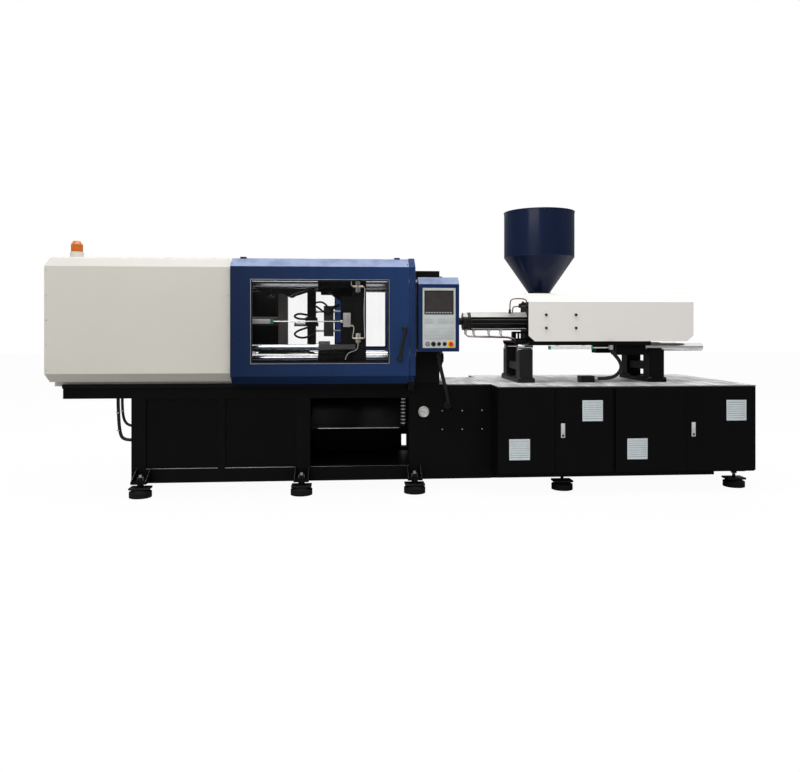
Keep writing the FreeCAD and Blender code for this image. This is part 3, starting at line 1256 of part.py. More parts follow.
node("safety_bar", fuse(
    "safety_bar_shape",
    cylinder("safety_rod", "x", D.safety_left, D.safety_y, D.safety_z, D.safety_radius,
             D.safety_nut_right - D.safety_left),
    cylinder("safety_collar", "x", D.collar_left, D.safety_y, D.safety_z, D.collar_radius,
             D.safety_nut_left - D.collar_left),
    prism("safety_nut", "x", D.safety_nut_left, D.safety_y, D.safety_z, HEX, D.safety_nut,
          D.safety_nut_right - D.safety_nut_left),
    box("safety_bracket", D.safety_nut_right, D.arm_right, D.safety_y - D.arm_half_z, -D.platen_half,
        D.safety_z - D.arm_half_z, D.safety_z + D.arm_half_z)))
lube_face = -D.platen_half - D.lube_depth
node("lubrication_blocks", group(
    "lubrication_group",
    box("lube_block_1", D.lube_1_left, D.lube_1_right, lube_face, -D.platen_half, D.lube_1_bottom,
        D.lube_1_top),
    box("lube_block_2", D.lube_left, D.lube_right, lube_face, -D.platen_half, D.lube_2_bottom,
        D.lube_2_top),
    box("lube_block_3", D.lube_left, D.lube_right, lube_face, -D.platen_half, D.lube_3_bottom,
        D.lube_3_top)))

# ---------------------------------------------------------------------------
# Clamp covers, posts, rails and gates
# ---------------------------------------------------------------------------
flat = D.sheet_steel * D.mitre_flat
steep = D.sheet_steel * D.mitre_steep
leg = D.frame_half - D.leg_inset
leg_in = leg - D.sheet_steel
side_outline = [
    (leg, D.deck_level), (leg, D.cover_fold), (D.cover_edge, D.cover_fold),
    (D.cover_face, D.cover_low), (D.cover_face, D.cover_high), (D.cover_edge, D.cover_top),
    (D.cover_lip, D.cover_top), (D.cover_lip, D.cover_top - D.sheet_steel),
    (D.cover_edge - flat, D.cover_top - D.sheet_steel),
    (D.cover_face - D.sheet_steel, D.cover_high - steep),
    (D.cover_face - D.sheet_steel, D.cover_low + steep),
    (D.cover_edge - flat, D.cover_fold + D.sheet_steel), (leg_in, D.cover_fold + D.sheet_steel),
    (leg_in, D.deck_level)]
cover_side = pad("cover_side", "x", D.cover_left + D.sheet_steel, D.cover_right, side_outline)
end_right = side_outline[:7]
end_outline = end_right + [(-y, z) for y, z in reversed(end_right)]
node("clamp_covers", fuse("clamp_covers_shape", cover_side, mirror("cover_side_m", cover_side),
                          pad("cover_end", "x", D.cover_left, D.cover_left + D.sheet_steel, end_outline)))

post = pad("gate_post", "x", D.post_x, D.post_end, [
    (D.frame_half, D.post_low), (D.frame_half, D.post_step), (D.post_back, D.post_step),
    (D.post_back, D.post_top),
    (D.gate_edge, D.post_top), (D.gate_face, D.gate_high), (D.gate_face, D.gate_low),
    (D.gate_edge, D.cover_fold), (D.post_chamfer, D.post_low)])
node("gate_posts", both_sides("gate_posts_pair", post))

rail = group("rail_rear",
             box("rail_high", D.rail_left, D.post_x, D.rail_inner, D.rail_outer, D.cover_top,
                 D.cover_top + D.rail_height),
             box("rail_low", D.cantilever_left, D.post_x, D.frame_half, D.frame_half + D.low_rail_width,
                 D.low_rail_bottom, D.gate_bottom - D.seat_gap))
node("gate_rails", both_sides("gate_rails_pair", rail))

inner_face = D.gate_face - D.sheet_steel
gate_skin = pad("gate_skin", "x", D.gate_left, D.gate_right, [
    (D.frame_half + D.gate_lip, D.gate_bottom), (D.gate_edge, D.gate_bottom), (D.gate_face, D.gate_low),
    (D.gate_face, D.gate_high), (D.gate_edge, D.gate_top),
    (D.gate_edge, D.gate_top - D.sheet_steel - D.gate_hem),
    (inner_face, D.gate_high - steep), (inner_face, D.gate_low + steep),
    (D.gate_edge - flat, D.gate_bottom + D.sheet_steel),
    (D.frame_half + D.gate_lip, D.gate_bottom + D.sheet_steel)])
gate_pieces = [gate_skin]
for end, left in (("left", D.gate_left), ("right", D.gate_right - D.sheet_steel)):
    gate_pieces.append(box("gate_return_" + end, left, left + D.sheet_steel, inner_face - D.gate_return,
                           inner_face, D.gate_low + D.return_inset, D.gate_high - D.return_inset))
hanger_z = D.cover_top + D.rail_height + D.seat_gap
for number, left in ((1, D.hanger_1), (2, D.hanger_2)):
    right = left + D.hanger_width
    gate_pieces += [
        box("hanger_%d" % number, left, right, D.hanger_inner, D.gate_edge + D.sheet_steel, hanger_z,
            hanger_z + D.hanger_sheet),
        box("hanger_web_%d" % number, left, right, D.gate_edge, D.gate_edge + D.sheet_steel,
            D.gate_top - D.sheet_steel, hanger_z),
        box("hanger_hook_%d" % number, left, right, D.hanger_inner, D.hanger_inner + D.hanger_hook,
            D.cover_top + D.sheet_steel, hanger_z)]
gate_blank = fuse("gate_blank", *gate_pieces)
window_y = (inner_face - OVER, D.gate_face + OVER)
rear_gate = cut("rear_gate_shape", gate_blank,
                box("rear_window_1", D.rear_left, D.stile_left, window_y[0], window_y[1], D.rear_bottom,
                    D.window_top),
                box("rear_window_2", D.stile_right, D.rear_right, window_y[0], window_y[1], D.rear_bottom,
                    D.window_top))
front_gate = cut("front_gate_rear_copy", gate_blank,
                 box("front_window_cut", D.window_left, D.window_right, window_y[0], window_y[1],
                     D.window_bottom, D.window_top))
node("front_gate", mirror("front_gate_shape", front_gate))
node("rear_gate", rear_gate)


def pane(name, left, right, low, high):
    """A window pane behind the sheet of the rear gate."""
    return box(name, left - D.pane_margin, right + D.pane_margin, inner_face - D.pane, inner_face,
               low - D.pane_margin, high + D.pane_margin)


node("front_window", mirror("front_window_shape", pane("front_pane", D.window_left, D.window_right,
                                                       D.window_bottom, D.window_top)))
node("rear_window", group("rear_window_group",
                          pane("rear_pane_1", D.rear_left, D.stile_left, D.rear_bottom, D.window_top),
                          pane("rear_pane_2", D.stile_right, D.rear_right, D.rear_bottom, D.window_top)))
lean = FreeCAD.Rotation(FreeCAD.Vector(0, 1, 0), D.handle_lean.value)
grip = doc.addObject("Part::Cylinder", "handle_grip")
grip.Placement = FreeCAD.Placement(FreeCAD.Vector(), lean)
bind(grip, Radius=D.handle_radius, Height=D.handle_length)
place(grip, D.handle_x, D.handle_y, D.handle_z)
grip.setExpression("Placement.Rotation.Angle", D.handle_lean.text)
stems = []
for number, along in enumerate((D.stem_inset, D.handle_length - D.stem_inset)):
    stems.append(cylinder("handle_stem_%d" % number, "y", D.handle_x + along * sind(D.handle_lean),
                          D.gate_face,
                          D.handle_z + along * cosd(D.handle_lean), D.stem_radius,
                          D.handle_y - D.gate_face))
handle = fuse("rear_handle_shape", grip, *stems)
node("rear_handle", handle)
node("front_handle", mirror("front_handle_shape", handle))

base_z = D.cover_top + D.beacon_height
node("beacon_base", cylinder("beacon_base_shape", "z", D.beacon_x, D.beacon_y, D.cover_top, D.beacon_radius,
                             D.beacon_height))
node("beacon_dome", fuse("beacon_dome_shape",
                         cylinder("beacon_drum", "z", D.beacon_x, D.beacon_y, base_z, D.dome_radius,
                                  D.dome_height),
                         cone("beacon_cap", "z", D.beacon_x, D.beacon_y, base_z + D.dome_height,
                              D.dome_radius, D.dome_radius - D.dome_inset, D.dome_crown)))

# ---------------------------------------------------------------------------
# Control box
# ---------------------------------------------------------------------------
panel_face = D.box_front - D.panel_depth
box_shape = pad("box_shape", "x", D.box_left, D.box_right, [
    (D.box_front, D.box_bottom), (D.box_front, D.box_high), (D.box_slope, D.box_top),
    (D.box_back, D.box_top), (D.box_back, D.box_bottom)])
node("control_box", cut("control_box_cut", box_shape,
                        cylinder("stop_well", "y", D.stop_x, D.box_front - OVER, D.button_z,
                                 D.stop_stem + D.free_fit, D.well_depth + OVER)))
plate = fuse("panel_fuse",
             box("panel_slab", D.panel_left, D.panel_right, panel_face, D.box_front, D.panel_low,
                 D.panel_high),
             *[cylinder("push_%d" % n, "y", x, panel_face - D.push_length, D.button_z, D.push_radius,
                        D.push_length)
               for n, x in enumerate((D.push_1_x, D.push_2_x))])
node("control_panel", cut(
    "control_panel_cut", plate,
    box("screen_pocket", D.screen_left - D.screen_gap, D.screen_right + D.screen_gap, panel_face - OVER,
        panel_face + D.screen_pocket, D.screen_low - D.screen_gap, D.screen_high + D.screen_gap),
    cylinder("stop_hole", "y", D.stop_x, panel_face - OVER, D.button_z, D.stop_stem + D.free_fit,
             D.panel_depth + 2 * OVER)))
screen_back = panel_face + D.screen_pocket
node("display_screen", box("screen_slab", D.screen_left, D.screen_right, screen_back - D.screen_depth,
                           screen_back, D.screen_low, D.screen_high))
stop_face = panel_face - D.stop_gap
node("emergency_stop", fuse(
    "emergency_stop_shape",
    cylinder("stop_mushroom", "y", D.stop_x, stop_face - D.stop_head, D.button_z, D.stop_radius,
             D.stop_head),
    cylinder("stop_stem_bar", "y", D.stop_x, stop_face, D.button_z, D.stop_stem,
             D.stop_gap + D.stem_depth)))
turn_face = panel_face - D.seat_gap
node("key_switch", fuse(
    "key_switch_shape",
    cylinder("key_barrel", "y", D.key_x, turn_face - D.key_length, D.button_z, D.key_radius, D.key_length),
    box("key_bit", D.key_x - D.key_half, D.key_x + D.key_half, turn_face - D.key_length - D.key_blade,
        turn_face - D.key_length, D.button_z - D.key_radius + D.key_margin,
        D.button_z + D.key_radius - D.key_margin)))
node("selector_knob", fuse(
    "selector_shape",
    cylinder("selector_disc", "y", D.knob_x, turn_face - D.knob_length, D.button_z, D.knob_radius,
             D.knob_length),
    box("selector_grip", D.knob_x - D.knob_grip, D.knob_x + D.knob_grip,
        turn_face - D.knob_length - D.grip_length, turn_face - D.knob_length, D.button_z - D.grip_rise,
        D.button_z + D.grip_rise)))
conduit_x = D.box_left + D.conduit_in
conduit = hose("conduit_hose", [
    (conduit_x, -545, D.box_bottom), (conduit_x, -545, D.box_bottom - 60), (conduit_x + 80, -470, 720),
    (conduit_x + 91, -458, 640), (conduit_x + 91, -D.frame_half, 640)], D.conduit_radius)
lines = [hose("frame_hose_%d" % number, [
    (D.frame_left - out, y, D.cantilever_bottom),
    (D.frame_left - out, y, D.cantilever_bottom - D.line_drop),
    (D.frame_left - out + D.line_lean, y, low + D.line_turn),
    (D.frame_left - out + D.line_lean + D.line_turn, y, low), (D.frame_left, y, low)], radius)
         for number, (out, y, low, radius) in enumerate((
             (D.line_1_out, D.line_1_y, D.line_1_end, D.line_1_radius),
             (D.line_2_out, D.line_2_y, D.line_2_end, D.line_2_radius)), 1)]
node("base_hoses", group("base_hoses_group", conduit, *lines))

# ---------------------------------------------------------------------------
# Stands and injection unit
# ---------------------------------------------------------------------------
STANDS = (("front_stand", D.stand_1_left, D.stand_1_right), ("rear_stand", D.stand_2_left, D.stand_2_right))
for label, left, right in STANDS:
    column = cut(label + "_column",
                 box(label + "_block", left, right, D.column_inner, D.column_outer,
                     D.deck_level + D.stand_foot, D.column_top),
                 cylinder(label + "_groove", "x", left - OVER, D.rod_y, D.rod_z,
                          D.chrome_radius + D.close_fit, right - left + 2 * OVER))
    stand = fuse(label + "_shape", column, mirror(label + "_column_m", column),
                 box(label + "_foot", left - D.stand_toe, right + D.stand_toe,
                     -D.column_outer - D.stand_toe,
                     D.column_outer + D.stand_toe, D.deck_level, D.deck_level + D.stand_foot),
                 box(label + "_beam", left + D.beam_inset, right - D.beam_inset, -D.column_inner,
                     D.column_inner, D.stand_beam - D.beam_height, D.stand_beam))
    if label == "front_stand":
        rod = cylinder("short_rod", "x", left, D.rod_y, D.rod_z, D.chrome_radius, D.short_rod_right - left)
        node("front_stand", group("front_stand_group", stand, rod, mirror("short_rod_m", rod)))
    else:
        node("rear_stand", stand)

shoe = cut("shoe",
           box("shoe_block", D.web_x, D.shoe_end, D.shoe_near, D.shoe_far, D.shoe_low, D.housing_low),
           cylinder("shoe_groove", "x", D.web_x - OVER, D.rod_y, D.rod_z, D.chrome_radius + D.free_fit,
                    D.shoe_end - D.web_x + 2 * OVER))
block = cut("rear_block",
            fuse("rear_block_fuse",
                 box("block_solid", D.block_left, D.block_right, D.column_inner, D.column_outer,
                     D.block_low, D.block_high),
                 box("block_tie", D.block_left, D.block_right, D.column_outer, D.strip_inner, D.shoe_low,
                     D.block_high)),
            cylinder("block_bore", "x", D.block_left - OVER, D.rod_y, D.rod_z,
                     D.chrome_radius + D.close_fit, D.block_right - D.block_left + 2 * OVER))
jack = cut("inject_cylinder",
           cylinder("inject_tube", "x", D.housing_right, D.inject_y, A, D.inject_radius,
                    D.inject_right - D.housing_right),
           cylinder("inject_bore", "x", D.inject_bore_left, D.inject_y, A, D.inject_rod + D.free_fit,
                    D.inject_right - D.inject_bore_left + OVER))
half = fuse("carriage_half", shoe, block, jack,
            box("side_strip", D.strip_left, D.strip_right, D.strip_inner, D.hood_half, D.shoe_low,
                D.hood_low))
slots = [box("web_slot_%d" % n, D.slot_x + n * D.slot_pitch - D.slot_half,
             D.slot_x + n * D.slot_pitch + D.slot_half,
             -D.web_half - OVER, D.web_half + OVER, D.slot_low, D.slot_high) for n in range(WEB_SLOTS)]
web = cut("housing_foot", box("housing_foot_block", D.web_left, D.web_end, -D.web_half, D.web_half,
                              D.web_low, D.web_high), *slots)
housing = cut(
    "housing",
    fuse("housing_fuse",
         box("housing_block", D.housing_left, D.housing_right, -D.housing_half, D.housing_half,
             D.housing_low, D.housing_high),
         box("housing_flange", D.flange_left, D.housing_right, -D.flange_half, D.flange_half,
             A - D.flange_half_z, A + D.flange_half_z),
         box("housing_table", D.web_end, D.shoe_end, -D.strip_inner, D.strip_inner, D.web_low,
             D.housing_low),
         box("housing_bridge", D.web_x, D.web_end, -D.shoe_near, D.shoe_near, D.web_low, D.housing_low)),
    cylinder("housing_bore", "x", D.housing_left - OVER, 0, A, D.barrel_radius + D.close_fit,
             D.housing_right - D.housing_left + 2 * OVER),
    cylinder("housing_feed", "z", D.hopper_x, 0, A, D.feed_radius, D.housing_high - A + OVER))
node("injection_carriage", fuse(
    "injection_carriage_shape", half, mirror("carriage_half_m", half), web, housing,
    box("cross_tie", D.tie_x, D.tie_end, -D.strip_inner, D.strip_inner, D.web_low, D.hood_low),
    box("hose_fitting", D.fitting_left, D.fitting_right, -D.fitting_outer, -D.hood_half, D.fitting_low,
        D.fitting_high)))

feed_cut = cylinder("barrel_feed", "z", D.hopper_x, 0, A, D.screw_bore, D.barrel_radius + OVER)
node("barrel", cut(
    "barrel_shape",
    fuse("barrel_fuse",
         cylinder("barrel_tube", "x", D.barrel_left, 0, A, D.barrel_radius,
                  D.housing_right - D.barrel_left),
         cylinder("barrel_head", "x", D.barrel_left, 0, A, D.head_radius, D.head_right - D.barrel_left),
         cylinder("nozzle", "x", D.nozzle_left, 0, A, D.nozzle_radius, D.barrel_left - D.nozzle_left),
         cone("nozzle_cone", "x", D.nozzle_tip, 0, A, D.tip_radius, D.nozzle_radius,
              D.nozzle_left - D.nozzle_tip)),
    cylinder("barrel_bore", "x", D.bore_left, 0, A, D.screw_bore, D.housing_right - D.bore_left + OVER),
    cylinder("nozzle_orifice", "x", D.nozzle_tip - OVER, 0, A, D.orifice,
             D.bore_left - D.nozzle_tip + 2 * OVER),
    feed_cut))
corner = 1 / math.cos(math.pi / GUARD_SIDES)
node("barrel_cover", cut(
    "barrel_cover_shape",
    prism("guard_outer", "x", D.guard_left, 0, A, GUARD_SIDES, D.guard_half * corner,
          D.housing_left - D.guard_left, 180 / GUARD_SIDES),
    prism("guard_inner", "x", D.guard_left - OVER, 0, A, GUARD_SIDES,
          (D.guard_half - D.guard_sheet) * corner,
          D.housing_left - D.guard_left + 2 * OVER, 180 / GUARD_SIDES)))

hood_flat = D.hood_sheet * D.mitre_flat
hood_outer = [(-D.hood_half, D.hood_low), (-D.hood_half, D.hood_high), (-D.hood_top_half, D.hood_top),
              (D.hood_top_half, D.hood_top), (D.hood_half, D.hood_high), (D.hood_half, D.hood_low)]
hood_in = D.hood_half - D.hood_sheet
hood_inner = [(-hood_in, D.hood_low - OVER), (-hood_in, D.hood_high - hood_flat),
              (-D.hood_top_half + hood_flat, D.hood_top - D.hood_sheet),
              (D.hood_top_half - hood_flat, D.hood_top - D.hood_sheet), (hood_in, D.hood_high - hood_flat),
              (hood_in, D.hood_low - OVER)]
node("injection_cover", cut(
    "injection_cover_shape", pad("hood_block", "x", D.strip_left, D.hood_right, hood_outer),
    pad("hood_space", "x", D.strip_left - OVER, D.hood_right - D.hood_sheet, hood_inner),
    box("hood_mouth", D.strip_left - OVER, D.hood_back_left, -D.hood_lip, D.hood_half + OVER,
        D.hood_low - OVER, D.hood_top + OVER),
    *[pad("hood_corner_%d" % n, "y", -D.hood_half - OVER, D.hood_half + OVER,
          [(end, D.hood_low - OVER), (end + reach, D.hood_low - OVER), (end, D.hood_low + D.hood_cut_z)])
      for n, (end, reach) in enumerate(((D.strip_left - OVER, D.hood_cut_x), (D.hood_right + OVER,
                                                                              -D.hood_cut_x)))],
    cylinder("hood_hopper_hole", "z", D.hopper_x, 0, D.hood_top - D.hood_sheet - OVER, D.hood_hole,
             D.hood_sheet + 2 * OVER)))

chrome = cylinder("carriage_rod", "x", D.rod_left, D.rod_y, D.rod_z, D.chrome_radius,
                  D.rod_right - D.rod_left)
node("guide_rods", both_sides("guide_rods_pair", chrome))

rod = cylinder("inject_rod", "x", D.inject_rod_left, D.inject_y, A, D.inject_rod,
               D.thrust_left - D.inject_rod_left)
node("injection_slide", fuse(
    "injection_slide_shape",
    box("thrust_plate", D.thrust_left, D.thrust_right, -D.thrust_half, D.thrust_half, D.thrust_low,
        D.thrust_high),
    cylinder("screw_motor", "x", D.thrust_right, 0, A, D.drive_radius, D.drive_right - D.thrust_right),
    rod, mirror("inject_rod_m", rod)))
node("screw", fuse(
    "screw_shape",
    cone("screw_point", "x", D.screw_left, 0, A, D.screw_point, D.screw_radius, D.screw_tip),
    cylinder("screw_body", "x", D.screw_left + D.screw_tip, 0, A, D.screw_radius,
             D.shank_left - D.screw_left - D.screw_tip),
    cylinder("screw_shank", "x", D.shank_left, 0, A, D.shank_radius,
             D.thrust_left - D.seat_gap - D.shank_left)))
sensor_z = (D.sensor_low + D.sensor_high) / 2
sensor = [box("sensor_case", D.sensor_left, D.sensor_right, -D.hood_half, -D.sensor_inner, D.sensor_low,
              D.sensor_high),
          box("sensor_anchor", D.anchor_left, D.anchor_left + D.clip_width, -D.hood_half, -D.sensor_inner,
              D.sensor_low, D.shoe_low),
          cylinder("sensor_rod_bar", "x", D.sensor_right, (-D.hood_half - D.sensor_inner) / 2, sensor_z,
                   D.sensor_rod, D.anchor_left - D.sensor_right)]
sensor += [box("sensor_clip_%d" % n, x, x + D.clip_width, -D.hood_half, -D.sensor_inner, D.sensor_high,
               D.shoe_low)
           for n, x in enumerate((D.clip_1, D.clip_2))]
node("injection_transducer", fuse("injection_transducer_shape", *sensor))

rim = D.hopper_radius - D.hopper_sheet
node("hopper_body", cut(
    "hopper_shape",
    fuse("hopper_outer",
         cylinder("hopper_neck", "z", D.hopper_x, 0, D.housing_high, D.neck_radius,
                  D.neck_top - D.housing_high),
         cone("hopper_cone", "z", D.hopper_x, 0, D.neck_top, D.cone_radius, D.hopper_radius,
              D.cone_top - D.neck_top),
         cylinder("hopper_drum", "z", D.hopper_x, 0, D.cone_top, D.hopper_radius,
                  D.hopper_rim - D.cone_top)),
    cylinder("hopper_throat", "z", D.hopper_x, 0, D.housing_high - OVER, D.feed_radius,
             D.neck_top - D.housing_high + 2 * OVER),
    cone("hopper_cone_in", "z", D.hopper_x, 0, D.neck_top + D.hopper_sheet,
         D.cone_radius - D.hopper_sheet - D.cone_draw,
         rim, D.cone_top - D.neck_top - D.hopper_sheet + D.cone_draw),
    cylinder("hopper_drum_in", "z", D.hopper_x, 0, D.cone_top + OVER, rim,
             D.hopper_rim - D.cone_top + OVER)))
lid_z = D.hopper_rim + D.seat_gap
crown_z = lid_z + D.lid_edge + D.lid_rise
node("hopper_lid", fuse(
    "hopper_lid_shape",
    cylinder("lid_rim", "z", D.hopper_x, 0, lid_z, D.lid_radius, D.lid_edge),
    cone("lid_crown_cone", "z", D.hopper_x, 0, lid_z + D.lid_edge, D.lid_radius, D.lid_crown, D.lid_rise),
    cylinder("lid_knob_post", "z", D.hopper_x, 0, crown_z, D.lid_knob, D.knob_top),
    box("lid_hinge_leaf", D.hopper_x - D.lid_hinge_half, D.hopper_x + D.lid_hinge_half,
        D.hopper_radius - D.lid_leaf, D.lid_radius + D.lid_hinge_reach, lid_z, lid_z + D.lid_edge)))

hose_x = (D.fitting_left + D.fitting_right) / 2
node("carriage_hose", hose("carriage_hose_pipe", [
    (hose_x, -346, D.fitting_low - D.seat_gap), (hose_x, -346, 1050), (hose_x + 74, -346, 970),
    (hose_x + 86, -344, 905), (hose_x + 40, -315, 842), (hose_x - 40, -250, 826),
    (D.manifold_right, -250, 826)], D.conduit_radius))

# ---------------------------------------------------------------------------
# Checks and export
# ---------------------------------------------------------------------------
doc.recompute()
os.makedirs("parts", exist_ok=True)
for obj in doc.Objects:
    if "Invalid" in obj.State or "Error" in obj.State:
        raise RuntimeError("%s: %s" % (obj.Name, obj.State))
for label, obj in NODES:
    if obj.Shape.isNull() or not obj.Shape.isValid() or not obj.Shape.Solids:
        raise RuntimeError("%s has no valid solid" % label)
    obj.Shape.exportStep("parts/%s.step" % label)
    print("%s: %d solids, %.2f litres" % (label, len(obj.Shape.Solids), obj.Shape.Volume / 1e6))
print("%d pieces" % len(NODES))
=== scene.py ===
"""Looks of a horizontal injection moulding machine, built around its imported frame.

Units are metres. +X runs from the clamp end to the injection end, -Y is the
operator's side and +Z is up, with the floor at zero.
"""

import logging
import math
from dataclasses import dataclass, replace
from enum import Enum, IntEnum
from typing import Callable, Iterable, Protocol, Sequence

import bpy
from mathutils import Euler, Matrix, Vector

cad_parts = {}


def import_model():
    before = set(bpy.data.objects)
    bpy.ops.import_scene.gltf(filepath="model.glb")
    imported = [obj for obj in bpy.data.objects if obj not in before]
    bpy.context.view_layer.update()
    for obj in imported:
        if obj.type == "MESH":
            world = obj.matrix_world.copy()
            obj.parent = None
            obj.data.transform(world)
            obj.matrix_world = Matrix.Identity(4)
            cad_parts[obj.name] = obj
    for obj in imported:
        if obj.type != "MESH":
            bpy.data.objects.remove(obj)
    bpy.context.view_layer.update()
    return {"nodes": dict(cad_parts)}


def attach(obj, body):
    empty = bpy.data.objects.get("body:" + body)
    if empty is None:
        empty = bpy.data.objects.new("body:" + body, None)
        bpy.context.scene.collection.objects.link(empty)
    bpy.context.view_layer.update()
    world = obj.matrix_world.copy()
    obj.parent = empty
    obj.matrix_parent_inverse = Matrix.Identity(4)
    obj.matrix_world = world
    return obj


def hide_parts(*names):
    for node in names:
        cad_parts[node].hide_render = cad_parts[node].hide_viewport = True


LOG = logging.getLogger("moulding_machine")
Point = Sequence[float]
Colour = tuple[float, float, float]
UP = Vector((0, 0, 1))
DOWN = Vector((0, 0, -1))
TO_FRONT = Vector((0, -1, 0))
# Height of the centre line that the clamp and the barrel share.
LINE_HEIGHT = 1.284
# Edges sharper than the first angle are rounded; faces within the second are shaded as one.
BEVEL_ANGLE = math.radians(35)
SMOOTH_ANGLE = math.radians(38)


class Side(IntEnum):
    """The machine's two long sides, as signs of Y."""

    FRONT = -1
    REAR = 1

    @property
    def label(self) -> str:
        """The side's word in the names of pieces."""
        return self.name.lower()


class Axis(Enum):
    """The direction along which a round or drawn piece runs."""

    X = Vector((1, 0, 0))
    Y = Vector((0, 1, 0))
    Z = Vector((0, 0, 1))


class Head(Enum):
    """The widths of screw and bolt heads in use."""

    PANEL = 0.006
    BOX = 0.007
    GATE = 0.008
    SHEET = 0.009
    PLATE = 0.010
    FOOT = 0.024
    CYLINDER = 0.026


# ---------------------------------------------------------------------------
# Shader expressions
# ---------------------------------------------------------------------------
class Sock:
    """A shader number: Python's operators add the Math nodes."""

    # Whole steps added before a remainder is taken, so that it also works below zero.
    SHIFT = 4000

    def __init__(self, graph: "Graph", socket: bpy.types.NodeSocket) -> None:
        """Keep the graph and the output socket."""
        self.graph = graph
        self.socket = socket

    def _math(self, operation: str, first: "Sock | float", second: "Sock | float") -> "Sock":
        """Add one Math node and return its result."""
        settings = {"operation": operation}
        return self.graph.node("ShaderNodeMath", settings, {0: first, 1: second}).out(0)

    def __add__(self, other: "Sock | float") -> "Sock":
        """Sum."""
        return self._math("ADD", self, other)

    __radd__ = __add__

    def __sub__(self, other: "Sock | float") -> "Sock":
        """Difference."""
        return self._math("SUBTRACT", self, other)

    def __rsub__(self, other: "Sock | float") -> "Sock":
        """Reflected difference, such as 1 - mask."""
        return self._math("SUBTRACT", other, self)

    def __mul__(self, other: "Sock | float") -> "Sock":
        """Product."""
        return self._math("MULTIPLY", self, other)

    __rmul__ = __mul__

    def above(self, level: float) -> "Sock":
        """One where the value exceeds a level."""
        return self._math("GREATER_THAN", self, level)

    def below(self, level: float) -> "Sock":
        """One where the value is under a level."""
        return self._math("LESS_THAN", self, level)

    def peak(self, other: "Sock | float") -> "Sock":
        """The larger of two values."""
        return self._math("MAXIMUM", self, other)

    def size(self) -> "Sock":
        """Absolute value."""
        return self._math("ABSOLUTE", self, 0.0)

    def repeat(self, step: float) -> "Sock":
        """Distance from the start of the present step, from 0 to step."""
        return self._math("MODULO", self._math("ADD", self, step * self.SHIFT), step)

    def ramp(self, low: float, high: float) -> "Sock":
        """Map a range onto 0 to 1, held at both ends."""
        inputs = {"Value": self, "From Min": low, "From Max": high}
        return self.graph.node("ShaderNodeMapRange", {"clamp": True}, inputs).out(0)


class Made:
    """A node just added, with easy access to its outputs."""

    def __init__(self, graph: "Graph", node: bpy.types.Node) -> None:
        """Keep the graph and the node."""
        self.graph = graph
        self.node = node

    def out(self, key: int | str) -> Sock:
        """Wrap one output socket."""
        return Sock(self.graph, self.node.outputs[key])


class Graph:
    """The node tree of one material or of the surroundings."""

    def __init__(self, owner: bpy.types.Material | bpy.types.World) -> None:
        """Empty the owner's tree.

        Args:
            owner: the material or world that the tree belongs to.
        """
        self.owner = owner
        self.owner.use_nodes = True
        self.tree = owner.node_tree
        self.tree.nodes.clear()
        self.coordinates = self.node("ShaderNodeTexCoord", {}, {})
        self.position = self.coordinates.out("Object")

    def node(self, kind: str, settings: dict[str, object], inputs: dict[int | str, object]) -> Made:
        """Add a node, set its settings and then its inputs.

        Args:
            kind: the node's type.
            settings: attributes set before the inputs.
            inputs: values, links or Socks by socket name or number.

        Returns:
            The wrapped node.
        """
        made = self.tree.nodes.new(kind)
        for key, value in settings.items():
            setattr(made, key, value)
        for key, value in inputs.items():
            if isinstance(value, Sock):
                self.tree.links.new(value.socket, made.inputs[key])
            else:
                made.inputs[key].default_value = value
        return Made(self, made)

    def noise(self, scale: float, detail: float = 2.0, stretch: Point = (1, 1, 1)) -> Sock:
        """Noise over the object, in waves per metre, stretched by axis."""
        mapping = {"Vector": self.position, "Scale": tuple(stretch)}
        moved = self.node("ShaderNodeMapping", {}, mapping).out(0)
        inputs = {"Vector": moved, "Scale": scale, "Detail": detail}
        return self.node("ShaderNodeTexNoise", {}, inputs).out(0)

    def parts(self, vector: Sock) -> tuple[Sock, Sock, Sock]:
        """The three numbers of a vector."""
        split = self.node("ShaderNodeSeparateXYZ", {}, {0: vector})
        return split.out(0), split.out(1), split.out(2)

    def axes(self) -> tuple[Sock, Sock, Sock]:
        """The object position as three numbers."""
        return self.parts(self.position)

    def facing(self) -> tuple[Sock, Sock, Sock]:
        """The way a face looks as three numbers."""
        return self.parts(self.node("ShaderNodeNewGeometry", {}, {}).out("Normal"))

    def blend(self, factor: Sock, first: Sock | Colour, second: Sock | Colour) -> Sock:
        """Mix two colours."""
        def rgba(value: Sock | Colour) -> Sock | tuple[float, ...]:
            """Give a plain colour its alpha."""
            return value if isinstance(value, Sock) else (*value, 1.0)
        settings = {"data_type": "RGBA"}
        mixed = self.node("ShaderNodeMix", settings, {0: factor, 6: rgba(first), 7: rgba(second)})
        return mixed.out(2)

    def bump(self, height: Sock, distance: float, strength: float = 1.0) -> Sock:
        """Turn a height into a normal."""
        inputs = {"Height": height, "Distance": distance, "Strength": strength}
        return self.node("ShaderNodeBump", {}, inputs).out(0)

    def edge_wear(self, radius: float) -> Sock:
        """One on worn outer edges, zero elsewhere."""
        bevel = self.node("ShaderNodeBevel", {"samples": 4}, {"Radius": radius}).out(0)
        plain = self.node("ShaderNodeNewGeometry", {}, {}).out("Normal")
        product = {"operation": "DOT_PRODUCT"}
        match = self.node("ShaderNodeVectorMath", product, {0: bevel, 1: plain}).out("Value")
        return (1.0 - match).ramp(0.02, 0.2)

    def finish(self, **inputs: object) -> bpy.types.Material:
        """Close the tree with one principled shader.

        Args:
            inputs: socket values with underscores for spaces.

        Returns:
            The finished material.
        """
        named = {key.replace("_", " "): value for key, value in inputs.items()}
        shader = self.node("ShaderNodeBsdfPrincipled", {}, named).out(0)
        self.node("ShaderNodeOutputMaterial", {}, {0: shader})
        return self.owner


